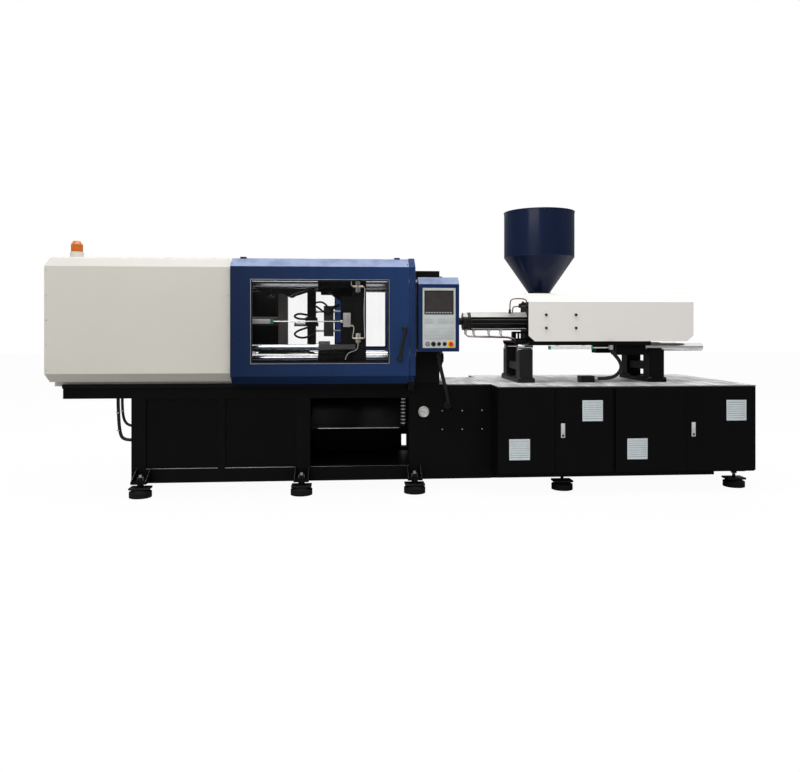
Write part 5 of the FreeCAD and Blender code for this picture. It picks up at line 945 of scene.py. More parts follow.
@dataclass
class Studio:
    """A white studio seen from the photograph's viewpoint."""

    eye: Point = (-0.4606, -5.84, 1.229)
    yaw: float = math.radians(4.2)
    lens: float = 32.4
    sensor: float = 36.0
    shift_up: float = -0.0725
    floor_size: float = 60.0
    fill: float = 0.62
    white: float = 1.0
    shadow: float = 0.08
    glow: float = 1.04
    mirrored: tuple[tuple[float, Colour], ...] = (
        (0.33, (0.03, 0.03, 0.035)), (0.58, (0.20, 0.21, 0.23)), (0.78, (1.0, 1.0, 1.0)))
    soft_boxes: tuple[Lamp, ...] = (
        Lamp("overhead", (-0.3, -1.2, 6.2), (-0.3, 0.0, 1.0), 7.5, 3.5, 300.0),
        Lamp("key", (-3.2, -6.8, 4.6), (-0.3, 0.0, 1.1), 5.0, 3.0, 170.0),
        Lamp("back", (1.0, 5.8, 4.8), (0.0, 0.0, 1.2), 7.0, 3.0, 150.0))
    floor_shades: tuple[Colour, Colour] = ((0.40, 0.40, 0.40), (0.43, 0.43, 0.43))
    floor_waves: float = 30.0

    def camera(self) -> None:
        """Place the camera level, turned a little to the injection end."""
        data = bpy.data.cameras.new("camera")
        data.lens = self.lens
        data.sensor_width = self.sensor
        data.shift_y = self.shift_up
        data.clip_end = 200.0
        obj = bpy.data.objects.new("camera", data)
        obj.location = self.eye
        obj.rotation_euler = (math.pi / 2, 0.0, -self.yaw)
        bpy.context.scene.collection.objects.link(obj)
        bpy.context.scene.camera = obj

    def world(self) -> None:
        """White to the camera, soft grey to surfaces, graded to reflections."""
        g = Graph(bpy.data.worlds.new("studio"))
        path = g.node("ShaderNodeLightPath", {}, {})
        height = g.parts(g.coordinates.out("Generated"))[2] * 0.5 + 0.5
        grade = g.node("ShaderNodeValToRGB", {}, {0: height})
        elements = grade.node.color_ramp.elements
        elements.new(0.5)
        for element, (place, shade) in zip(elements, self.mirrored):
            element.position = place
            element.color = (*shade, 1)
        white = (1, 1, 1, 1)
        lit = g.node("ShaderNodeBackground", {}, {"Color": white, "Strength": self.fill}).out(0)
        seen = g.node("ShaderNodeBackground", {}, {"Color": white, "Strength": self.white}).out(0)
        mirrored = g.node("ShaderNodeBackground", {}, {"Color": grade.out(0), "Strength": 1.0}).out(0)
        soft = g.node("ShaderNodeMixShader", {}, {0: path.out("Is Glossy Ray"), 1: lit, 2: mirrored}).out(0)
        direct = path.out("Is Camera Ray").peak(path.out("Is Transmission Ray"))
        shown = g.node("ShaderNodeMixShader", {}, {0: direct, 1: soft, 2: seen}).out(0)
        g.node("ShaderNodeOutputWorld", {}, {0: shown})
        bpy.context.scene.world = g.owner

    def lamps(self) -> None:
        """Soft boxes above, in front and behind."""
        for lamp in self.soft_boxes:
            data = bpy.data.lights.new(lamp.name, "AREA")
            data.shape = "RECTANGLE"
            data.size = lamp.width
            data.size_y = lamp.depth
            data.energy = lamp.power
            obj = bpy.data.objects.new(lamp.name, data)
            obj.location = lamp.spot
            obj.rotation_euler = (Vector(lamp.aim) - Vector(lamp.spot)).to_track_quat("-Z", "Y").to_euler()
            bpy.context.scene.collection.objects.link(obj)

    def floor(self) -> None:
        """A pale floor that shows as white and keeps a soft shadow."""
        BENCH.clear()
        bpy.ops.mesh.primitive_plane_add(size=self.floor_size, location=(0, 0, 0))
        plane = bpy.context.object
        plane.name = "floor"
        g = Graph(bpy.data.materials.new("pale_floor"))
        path = g.node("ShaderNodeLightPath", {}, {})
        shade = g.blend(g.noise(self.floor_waves), *self.floor_shades)
        plain = g.node("ShaderNodeBsdfPrincipled", {}, {"Base Color": shade, "Roughness": 0.6}).out(0)
        glow = g.node("ShaderNodeEmission", {}, {"Color": (1, 1, 1, 1), "Strength": self.glow}).out(0)
        share = path.out("Is Camera Ray") * (1.0 - self.shadow)
        mixed = g.node("ShaderNodeMixShader", {}, {0: share, 1: plain, 2: glow}).out(0)
        g.node("ShaderNodeOutputMaterial", {}, {0: mixed})
        plane.data.materials.append(g.owner)

    def build(self) -> None:
        """Set up everything round the object."""
        bpy.context.scene.view_settings.view_transform = "Standard"
        self.camera()
        self.world()
        self.lamps()
        self.floor()


# ---------------------------------------------------------------------------
# Sub-assemblies
# ---------------------------------------------------------------------------
def clones(source: bpy.types.Object, moves: Iterable[Matrix]) -> list[bpy.types.Object]:
    """A piece and moved or turned copies of it, each with its own mesh.

    Args:
        source: the modelled piece.
        moves: how each copy is carried from it.

    Returns:
        The source and its copies.
    """
    made = [source]
    for move in moves:
        twin = source.copy()
        twin.data = source.data.copy()
        twin.data.transform(move)
        bpy.context.scene.collection.objects.link(twin)
        made.append(twin)
    return made


def copies(source: bpy.types.Object, offsets: Iterable[Point]) -> list[bpy.types.Object]:
    """A piece and copies of it at the given offsets."""
    return clones(source, [Matrix.Translation(Vector(offset)) for offset in offsets])


def bolt_field(spots: Sequence[Point], axis: Axis, head: Head,
               sign: float = 1.0) -> list[bpy.types.Object]:
    """One bolt modelled at the first spot and copied to the others."""
    first = Vector(spots[0])
    return copies(BENCH.bolt(first, axis, head, sign), [Vector(spot) - first for spot in spots[1:]])


@dataclass(frozen=True)
class Route:
    """One hose: its name, the node it replaces, its radius and its control points."""

    name: str
    node: str
    radius: float
    points: tuple[Point, ...]


CARRIAGE_HOSE = Route("carriage_hose_line", "carriage_hose", 0.014, (
    (1.598, -0.346, 1.0947), (1.598, -0.346, 1.050), (1.672, -0.346, 0.970), (1.684, -0.344, 0.905),
    (1.638, -0.315, 0.842), (1.558, -0.250, 0.826), (1.484, -0.250, 0.826)))
BOX_CONDUIT = Route("conduit_line", "base_hoses", 0.014, (
    (0.212, -0.545, 1.057), (0.212, -0.545, 0.997), (0.292, -0.470, 0.720), (0.303, -0.458, 0.640),
    (0.303, -0.390, 0.640)))
FRAME_HOSE_1 = Route("frame_hose_line_1", "base_hoses", 0.012, (
    (-2.154, -0.362, 0.708), (-2.154, -0.362, 0.628), (-2.142, -0.362, 0.436), (-2.104, -0.362, 0.398),
    (-2.051, -0.362, 0.398)))
FRAME_HOSE_2 = Route("frame_hose_line_2", "base_hoses", 0.010, (
    (-2.133, -0.332, 0.708), (-2.133, -0.332, 0.628), (-2.121, -0.332, 0.538), (-2.083, -0.332, 0.500),
    (-2.051, -0.332, 0.500)))


@dataclass
class Hoses:
    """The flexible hoses that hang free under the box, the cantilever and the carriage."""

    routes: tuple[Route, ...] = (CARRIAGE_HOSE, BOX_CONDUIT, FRAME_HOSE_1, FRAME_HOSE_2)
    rounding: int = 6
    fineness: int = 16

    @staticmethod
    def measured(obj: bpy.types.Object) -> float:
        """The length of a spline, read from its own points."""
        section = obj.data.bevel_depth
        obj.data.bevel_depth = 0.0
        line = bpy.data.meshes.new_from_object(obj)
        obj.data.bevel_depth = section
        spots = [v.co.copy() for v in line.vertices]
        bpy.data.meshes.remove(line)
        return sum((b - a).length for a, b in zip(spots, spots[1:]))

    def build(self) -> None:
        for route in self.routes:
            obj = nurbs(route.name, route.points, route.radius, self.rounding, self.fineness)
            obj.data.materials.append(material_of(HOSE))
            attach(obj, "base")
            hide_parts(route.node)
            self.measured(obj)
            LOG.info("%s: declared", route.name)


@dataclass
class ClampFrame:
    """Dressing of the clamp base: screws, bright folds, gauge dial, hems, oil sleeve and hose ties."""

    panels: tuple[tuple[float, float], ...] = ((-1.945, -1.420), (-1.369, -0.844))
    recesses: tuple[tuple[float, float], ...] = ((-1.944, -1.421), (-1.368, -0.845), (-0.738, 0.007))
    recess_floor: float = 0.1845
    frame_face: float = 0.3915
    panel_low: float = 0.189
    panel_high: float = 0.700
    panel_face: float = 0.378
    margin: float = 0.014
    gauge: Point = (0.119, -0.410, 0.594)
    gauge_radius: float = 0.042
    feet: tuple[float, ...] = (-1.961, -0.797, 0.043)
    foot_line: float = 0.475
    cabinet_feet: tuple[tuple[float, float], ...] = ((1.178, 0.440), (2.541, 0.440))
    access: tuple[float, float, float, float] = (0.250, 0.580, 0.445, 0.611)
    access_face: float = -0.394
    access_inset: float = 0.012
    rib_spacing: float = 0.050
    rib_top: float = 0.1895
    rib_end: tuple[float, float] = (0.5345, 0.1215)
    sill: tuple[Point, Point] = ((0.6405, -0.389, 0.081), (0.700, -0.150, 0.170))
    mount_half: tuple[float, float] = (0.074, 0.050)
    mount_levels: tuple[float, float] = (0.0575, 0.0725)
    window_hem: tuple[Point, Point] = ((-0.745, -0.3925, 0.179), (0.014, -0.3895, 0.709))
    chute_lip: tuple[Point, Point] = ((-0.679, -0.3915, 0.4710), (-0.068, -0.3885, 0.4750))
    sleeve: Point = (-0.034, -0.364, 0.486)
    sleeve_length: float = 0.225
    ties: tuple[tuple[Route, float], ...] = (
        (FRAME_HOSE_1, 0.600), (FRAME_HOSE_2, 0.612), (FRAME_HOSE_1, 0.470))
    tie_lean: float = 0.035
    gauge_marks: int = 21
    gauge_reading: float = math.radians(-80)

    def panel_screws(self) -> None:
        """Cap screws round the recessed panels of both sides."""
        parts = []
        for side in Side:
            spots = []
            for left, right in self.panels:
                for x in steps(left + self.margin, right - self.margin, 4):
                    for z in (self.panel_low + self.margin, self.panel_high - self.margin):
                        spots.append((x, side * self.panel_face, z))
                for x in (left + self.margin, right - self.margin):
                    spots.append((x, side * self.panel_face, (self.panel_low + self.panel_high) / 2))
            parts += bolt_field(spots, Axis.Y, Head.SHEET, side)
        BENCH.hand_over("panel_screws", "base", BLACK, parts)

    def ledges(self) -> None:
        """The bright lower folds of the panel recesses and of the drop window."""
        strips = []
        for side in Side:
            rear, front = sorted((side * (self.frame_face - 0.011), side * self.frame_face))
            for left, right in self.recesses:
                low, high = (left, rear, self.recess_floor), (right, front, self.recess_floor + 0.003)
                strips.append(BENCH.block(low, high, 0.0006))
        BENCH.hand_over("recess_ledges", "base", ZINC, strips)

    def bracket_edges(self) -> None:
        """The bright sloping edges of the foot brackets."""
        edges = []
        for side in Side:
            for x in self.feet:
                for rib in (x - self.rib_spacing, x + self.rib_spacing):
                    start = Vector((rib, side * self.frame_face, self.rib_top))
                    way = Vector((rib, side * self.rib_end[0], self.rib_end[1])) - start
                    edges.append(BENCH.rod(start, way, way.length, 0.0014, 0, 8))
        BENCH.hand_over("bracket_edges", "base", ZINC, edges)

    def end_sill(self) -> None:
        """The sill that closes the foot of the base towards the cabinet."""
        BENCH.hand_over("base_end_sill", "base", BLACK, [BENCH.block(*self.sill, 0.002)])

    def mounts(self) -> None:
        """Square rubber-edged plates on top of the levelling pads."""
        feet = [(x, self.foot_line) for x in self.feet]
        feet.extend(self.cabinet_feet)
        (wide, deep), (bottom, top) = self.mount_half, self.mount_levels
        plates = []
        for side in Side:
            for x, y in feet:
                low, high = (x - wide, side * y - deep, bottom), (x + wide, side * y + deep, top)
                plates.append(BENCH.block(low, high, 0.003))
        BENCH.hand_over("mount_plates", "base", RUBBER, plates)

    def access_screws(self) -> None:
        """Screws along the upper and lower edges of the small access plate."""
        x0, x1, z0, z1 = self.access
        inset = self.access_inset
        spots = [(x, self.access_face, z) for x in steps(x0 + inset, x1 - inset, 3)
                 for z in (z0 + inset, z1 - inset)]
        BENCH.hand_over("access_screws", "base", ZINC, bolt_field(spots, Axis.Y, Head.PLATE, Side.FRONT))

    def gauge_face(self) -> None:
        """Dial, marks, needle, glass rim and centre boss of the pressure gauge."""
        x, y, z = self.gauge
        rim = BENCH.ring((x, y - 0.001, z), Axis.Y, self.gauge_radius - 0.005, 0.005, 0.9)
        boss = BENCH.dome((x, y - 0.001, z), Axis.Y, 0.006, 0.5)
        BENCH.hand_over("gauge_rim", "base", ZINC, [rim, boss])
        dial = BENCH.rod((x, y, z), TO_FRONT, 0.0012, self.gauge_radius - 0.006, 0.0004, 48)
        BENCH.hand_over("gauge_dial", "base", DIAL, [dial])
        marks = []
        reach = self.gauge_radius - 0.011
        for number in range(self.gauge_marks):
            way = self.on_dial(math.radians(-135 + 270 * number / (self.gauge_marks - 1)))
            length = 0.007 if number % 5 == 0 else 0.004
            start = Vector((x, y - 0.0014, z)) + way * (reach - length)
            marks.append(BENCH.rod(start, way, length, 0.0009, 0, 6))
        way = self.on_dial(self.gauge_reading)
        tail = Vector((x, y - 0.0022, z)) - way * 0.010
        marks.append(BENCH.rod(tail, way, 0.036, 0.0022, 0, 8, 0.0008))
        BENCH.hand_over("gauge_marks", "base", BLACK_PLASTIC, marks)

    @staticmethod
    def on_dial(turn: float) -> Vector:
        """The way outwards on the dial at an angle from its top."""
        return Vector((math.sin(turn), 0, math.cos(turn)))

    def window_hems(self) -> None:
        """The folded hem of the drop window and the bright lip of the chute behind it."""
        BENCH.hand_over("drop_window_hem", "base", BLACK, [BENCH.frame(*self.window_hem, 0.008)])
        BENCH.hand_over("chute_lip", "base", ZINC, [BENCH.block(*self.chute_lip, 0.0008)])

    def oil_sleeve(self) -> None:
        """The ribbed sleeve over the hoses that come down beside the chute."""
        x, y, _ = self.sleeve
        core = BENCH.rod(self.sleeve, Axis.Z, self.sleeve_length, 0.0150, 0.001, 24)
        BENCH.hand_over("oil_sleeve", "base", RUBBER, [core])
        ribs = [BENCH.ring((x, y, z), Axis.Z, 0.0155, 0.0042) for z in steps(0.505, 0.690, 8)]
        BENCH.hand_over("oil_sleeve_ribs", "base", ALUMINIUM, ribs)

    def hose_ties(self) -> None:
        """Band clips round the two hoses at the frame's end."""
        ties = []
        for route, z in self.ties:
            top, bend = route.points[0], route.points[1]
            x = top[0] + (bend[2] - z) * self.tie_lean
            ties.append(BENCH.ring((x, top[1], z), Axis.Z, route.radius + 0.0015, 0.0018, 1.6))
        BENCH.hand_over("hose_ties", "base", ZINC, ties)

    def build(self) -> None:
        """Make everything on the clamp base."""
        self.panel_screws()
        self.ledges()
        self.bracket_edges()
        self.mounts()
        self.end_sill()
        self.access_screws()
        self.gauge_face()
        self.window_hems()
        self.oil_sleeve()
        self.hose_ties()


@dataclass
class Gates:
    """Trim of the sliding gates: window rims, seals, screws, handle ends and a dark sheet of painted shade
    inside the rear gate.
    """

    face: float = 0.600
    windows: tuple[tuple[Side, float, float, float, float], ...] = (
        (Side.FRONT, -1.153, -0.155, 0.971, 1.580),
        (Side.REAR, -1.090, -0.560, 1.054, 1.580),
        (Side.REAR, -0.497, -0.110, 1.054, 1.580))
    handle_x: float = -0.080
    handle_low: float = 0.999
    handle_lean: float = math.radians(9.6)
    handle_length: float = 0.234
    handle_out: float = 0.658
    post_x: float = 0.0165
    post_rows: tuple[float, float, int] = (0.86, 1.70, 6)
    gate_edges: tuple[float, float] = (-1.285, -0.021)
    gate_rows: tuple[float, float, int] = (0.87, 1.69, 4)
    seal_depth: float = 0.0035
    shade_sheet_span: tuple[float, float, float, float] = (-1.294, -1.052, 0.900, 1.640)
    shade_sheet_depth: float = 0.0130
    spacer_columns: tuple[float, float] = (-1.245, -1.120)
    spacer_rows: tuple[float, float, float] = (0.93, 1.27, 1.61)

    def window_rims(self) -> None:
        """A bright edge and a black seal round each pane."""
        for side in Side:
            body = side.label + "_gate"
            edges, seals = [], []
            for x0, x1, z0, z1 in (window[1:] for window in self.windows if window[0] is side):
                y, back = side * self.face, side * (self.face - self.seal_depth)
                low, high = (x0 - 0.001, y - 0.0012, z0 - 0.001), (x1 + 0.001, y + 0.0012, z1 + 0.001)
                edges.append(BENCH.frame(low, high, 0.0022, 0.0006))
                seals.append(BENCH.frame((x0, back - 0.0012, z0), (x1, back + 0.0012, z1), 0.012, 0.0010))
            BENCH.hand_over(body + "_window_edge", body, ALUMINIUM, edges)
            BENCH.hand_over(body + "_window_seal", body, RUBBER, seals)

    def handle_ends(self) -> None:
        """Moulded feet at both ends of each gate handle."""
        lean = Vector((math.sin(self.handle_lean), 0, math.cos(self.handle_lean)))
        for side in Side:
            body = side.label + "_gate"
            out = Vector((0, side, 0))
            parts = []
            for along in (0.004, self.handle_length - 0.004):
                spot = Vector((self.handle_x, side * (self.face + 0.0005), self.handle_low)) + lean * along
                parts.append(BENCH.rod(spot, out, 0.010, 0.019, 0.003, 24, 0.015))
                parts.append(BENCH.rod(spot + out * 0.010, out, 0.040, 0.0125, 0.002, 24, 0.0115))
            centre = Vector((self.handle_x, side * (self.handle_out - 0.0025), self.handle_low))
            for along in (-0.010, self.handle_length - 0.020):
                parts.append(BENCH.rod(centre + lean * along, lean, 0.030, 0.0145, 0.004, 24))
            BENCH.hand_over(body + "_handle_ends", body, BLACK_PLASTIC, parts)

    def shade_sheet(self) -> None:
        """A dark sheet inside the rear gate, seen through the front window: painted shade on the gate's
        inner side.
        """
        x0, x1, z0, z1 = self.shade_sheet_span
        y = self.face - self.shade_sheet_depth
        # Painted shade: a near-black sheet with spacers stands where the gate's inner side lies in shade.
        sheet = BENCH.block((x0, y, z0), (x1, y + 0.003, z1), 0.001)
        spacers = [BENCH.rod((x, y + 0.0025, z), Axis.Y, 0.0068, 0.008, 0, 12)
                   for x in self.spacer_columns for z in self.spacer_rows]
        BENCH.hand_over("rear_gate_shade_sheet", "rear_gate", CASTING, [sheet, *spacers])

    def edge_screws(self) -> None:
        """Small screws along the fixed posts and along the gates' own edges."""
        for side in Side:
            y = side * self.face
            spots = [(self.post_x, y, z) for z in steps(*self.post_rows)]
            BENCH.hand_over("post_screws_" + side.label, "base", BLUE,
                            bolt_field(spots, Axis.Y, Head.SHEET, side))
            spots = [(x, y, z) for x in self.gate_edges for z in steps(*self.gate_rows)]
            BENCH.hand_over("gate_screws_" + side.label, side.label + "_gate", DARK_STEEL,
                            bolt_field(spots, Axis.Y, Head.GATE, side))

    def build(self) -> None:
        """Make all the gate trim."""
        self.window_rims()
        self.handle_ends()
        self.shade_sheet()
        self.edge_screws()


@dataclass
class ClampCovers:
    """Screws of the fixed covers over the clamp's rear."""

    left: float = -2.603
    right: float = -1.304
    face: float = 0.565
    low: float = 0.902
    high: float = 1.670
    side_inset: float = 0.014
    end_inset: float = 0.03
    end_level_rows: tuple[float, float] = (0.90, 1.69)
    end_upright_rows: tuple[float, float] = (-0.535, 0.535)

    def seam_screws(self) -> None:
        """Screws along the upright edges of both covers."""
        columns = (self.left + self.side_inset, self.right - self.side_inset)
        rows = steps(self.low + self.end_inset, self.high - self.end_inset, 5)
        for side in Side:
            spots = [(x, side * self.face, z) for x in columns for z in rows]
            BENCH.hand_over("cover_screws_" + side.label, "base", ZINC,
                            bolt_field(spots, Axis.Y, Head.SHEET, side))

    def end_screws(self) -> None:
        """Screws round the end plate."""
        x = self.left + 0.004
        spots = [(x, y, z) for y in steps(-0.50, 0.50, 5) for z in self.end_level_rows]
        spots += [(x, y, z) for y in self.end_upright_rows for z in steps(1.05, 1.55, 3)]
        BENCH.hand_over("cover_end_screws", "base", ZINC, bolt_field(spots, Axis.X, Head.SHEET, -1))

    def build(self) -> None:
        """Make the cover trim."""
        self.seam_screws()
        self.end_screws()


@dataclass
class ClampUnit:
    """Lubrication fittings, tubes, transducers and bolts around the toggle clamp."""

    block_face: float = -0.395
    cross_x: float = -0.3785
    crosses: tuple[float, float] = (1.540, 1.150)
    block_x: float = -0.4625
    outlets: int = 5
    outlet_low: float = 1.250
    outlet_pitch: float = 0.018
    transducer_ends: tuple[float, float] = (-1.600, -1.034)
    transducer_clips: tuple[float, float] = (-1.430, -1.320)
    transducer_z: float = 1.278
    transducer_y: float = -0.385
    transducer_half: float = 0.017
    ejector_gauge: tuple[float, float, float] = (0.075, 1.2576, 0.0150)
    guide_reach: float = 0.077
    cylinder_face: float = -1.4600
    cylinder_circle: float = 0.128
    platen_face: float = 0.243
    platen_circle: float = 0.150

    def fittings(self) -> None:
        """Silver cross fittings with brass nipples on the moving platen."""
        silver, brass = [], []
        y = self.block_face
        for z in self.crosses:
            silver.append(BENCH.rod((self.cross_x, y + 0.001, z), TO_FRONT, 0.016, 0.012, 0.001, 6))
            silver.append(BENCH.rod((self.cross_x - 0.026, y - 0.010, z), Axis.X, 0.052, 0.0075, 0.001, 20))
            silver.append(BENCH.rod((self.cross_x, y - 0.010, z - 0.034), Axis.Z, 0.074, 0.0075, 0.001, 20))
            for x in (-0.036, 0.022):
                brass.append(BENCH.rod((self.cross_x + x, y - 0.010, z), Axis.X, 0.014, 0.0095, 0.001, 6))
            brass.append(BENCH.rod((self.cross_x, y - 0.010, z - 0.046), Axis.Z, 0.014, 0.0090, 0.001, 6))
        for number in range(self.outlets):
            x, z = self.block_x, self.outlet_low + self.outlet_pitch * number
            silver.append(BENCH.rod((x, y, z), TO_FRONT, 0.012, 0.0085, 0.001, 6))
            for beside in (-0.017, 0.017):
                silver.append(BENCH.rod((x + beside, y, z + 0.009), TO_FRONT, 0.009, 0.0065, 0.001, 12))
        brass.append(BENCH.rod((-0.432, y - 0.006, 1.246), Axis.X, 0.014, 0.0085, 0.001, 6))
        BENCH.hand_over("lubricator_fittings", "moving", ZINC, silver)
        BENCH.hand_over("lubricator_nipples", "moving", BRASS, brass)

    def tubes(self) -> None:
        """Thin grease tubes between the fittings."""
        y = self.block_face - 0.010
        x = self.cross_x
        runs = [
            [(x + 0.036, y, 1.540), (x + 0.052, y, 1.540), (x + 0.050, y - 0.004, 1.500),
             (x + 0.044, y - 0.004, 1.340), (x + 0.050, y - 0.004, 1.190), (x + 0.052, y, 1.150),
             (x + 0.036, y, 1.150)],
            [(-0.418, y + 0.004, 1.246), (-0.408, y, 1.240), (-0.414, y - 0.002, 1.190), (-0.424, y, 1.150),
             (x - 0.036, y, 1.150)],
            [(x - 0.036, y, 1.540), (x - 0.052, y, 1.545), (x - 0.050, y, 1.600),
             (x - 0.046, y + 0.03, 1.650)],
            [(x, y, 1.104), (x, y, 1.085), (x - 0.015, y, 1.060), (x - 0.085, y + 0.01, 1.040),
             (x - 0.096, y + 0.02, 0.990)],
        ]
        BENCH.hand_over("grease_tubes", "moving", CERAMIC, [BENCH.tube(run, 0.0026) for run in runs])

    def transducers(self) -> None:
        """The clamp's stroke transducer with its clips, green end caps and rod."""
        y, z, half = self.transducer_y, self.transducer_z, self.transducer_half
        section = [(y - half, z - half), (y + half, z - half), (y + half, z + half), (y - half, z + half)]
        left, right = self.transducer_ends
        body = BENCH.drawn(section, Axis.X, left, right, 0.004)
        clips = [BENCH.block((x - 0.014, y + 0.010, z - 0.022), (x + 0.014, y + 0.025, z + 0.022))
                 for x in self.transducer_clips]
        BENCH.hand_over("clamp_transducer", "tail", ALUMINIUM, [body])
        BENCH.hand_over("clamp_transducer_clips", "tail", DARK_STEEL, clips)
        end, thick = half + 0.002, 0.018
        caps = [BENCH.block((x, y - end, z - end), (x + thick, y + end, z + end), 0.003)
                for x in (left - thick, right)]
        BENCH.hand_over("clamp_transducer_caps", "tail", GREEN, caps)
        rod = BENCH.rod((-1.055, y, z), Axis.X, 0.556, 0.0045, 0.001, 16)
        eye = BENCH.rod((-0.500, y + 0.012, z), TO_FRONT, 0.024, 0.011, 0.001, 20)
        BENCH.hand_over("clamp_transducer_rod", "moving", CHROME, [rod, eye])

    def ejector_transducer(self) -> None:
        """The round stroke transducer behind the ejector post, with green ends and clips."""
        y, z, radius = self.ejector_gauge
        body = BENCH.rod((-0.878, y, z), Axis.X, 0.173, radius, 0.002)
        BENCH.hand_over("ejector_transducer", "moving", ALUMINIUM, [body])
        caps = [BENCH.rod((x, y, z), Axis.X, 0.013, radius + 0.0015, 0.002) for x in (-0.890, -0.707)]
        BENCH.hand_over("ejector_transducer_caps", "moving", GREEN, caps)
        clip = BENCH.block((-0.750, 0.050, z - 0.024), (-0.722, y + 0.020, z + 0.024), 0.003)
        BENCH.hand_over("ejector_transducer_clip", "moving", DARK_STEEL, [clip])

    def ejector_dressing(self) -> None:
        """The sleeve of the upper ejector guide, the oil hoses' loops and the ejector's cylinder head."""
        sleeve = BENCH.rod((-0.7125, 0, LINE_HEIGHT + self.guide_reach), Axis.X, 0.014, 0.0120)
        BENCH.hand_over("ejector_sleeve", "moving", ZINC, [sleeve])
        upper = [
            [(-0.712, -0.040, 1.430), (-0.680, -0.080, 1.440), (-0.635, -0.095, 1.425),
             (-0.600, -0.095, 1.375), (-0.570, -0.095, 1.400), (-0.522, -0.085, 1.420)],
            [(-0.714, -0.047, 1.400), (-0.706, -0.095, 1.405), (-0.640, -0.105, 1.350),
             (-0.596, -0.105, 1.345), (-0.566, -0.100, 1.395), (-0.522, -0.090, 1.405)]]
        lower = [
            [(-0.770, -0.048, 1.235), (-0.782, -0.088, 1.230), (-0.850, -0.088, 1.208),
             (-0.882, -0.088, 1.180), (-0.850, -0.088, 1.155), (-0.800, -0.088, 1.150),
             (-0.755, -0.085, 1.165), (-0.712, -0.060, 1.185)],
            [(-0.770, -0.048, 1.330), (-0.782, -0.088, 1.334), (-0.845, -0.088, 1.345),
             (-0.885, -0.088, 1.322), (-0.845, -0.088, 1.300), (-0.782, -0.088, 1.300),
             (-0.770, -0.048, 1.300)]]
        loops = [BENCH.tube(run, 0.0075) for run in upper]
        loops += [BENCH.tube(run, 0.0085) for run in lower]
        BENCH.hand_over("ejector_hoses", "moving", HOSE, loops)
        head = BENCH.rod((-0.712, 0, LINE_HEIGHT), Axis.X, 0.013, 0.030, 0.003)
        BENCH.hand_over("ejector_head", "moving", CASTING, [head])

    def platen_bolts(self) -> None:
        """Bolts round the clamp cylinder and round the barrel's bore in the fixed platen."""
        spots = []
        for turn in (math.radians(30 * number) for number in range(12)):
            y, z = self.cylinder_circle * math.sin(turn), self.cylinder_circle * math.cos(turn)
            spots.append((self.cylinder_face, y, LINE_HEIGHT + z))
        BENCH.hand_over("cylinder_bolts", "tail", DARK_STEEL, bolt_field(spots, Axis.X, Head.CYLINDER, -1))
        spots = []
        for side in Side:
            for turn in (math.radians(angle) for angle in (-60, -20, 20, 60)):
                y, z = side * self.platen_circle * math.cos(turn), self.platen_circle * math.sin(turn)
                spots.append((self.platen_face, y, LINE_HEIGHT + z))
        BENCH.hand_over("platen_ring_bolts", "base", DARK_STEEL, bolt_field(spots, Axis.X, Head.FOOT))

    def build(self) -> None:
        """Make everything round the clamp."""
        self.fittings()
        self.tubes()
        self.transducers()
        self.ejector_transducer()
        self.ejector_dressing()
        self.platen_bolts()


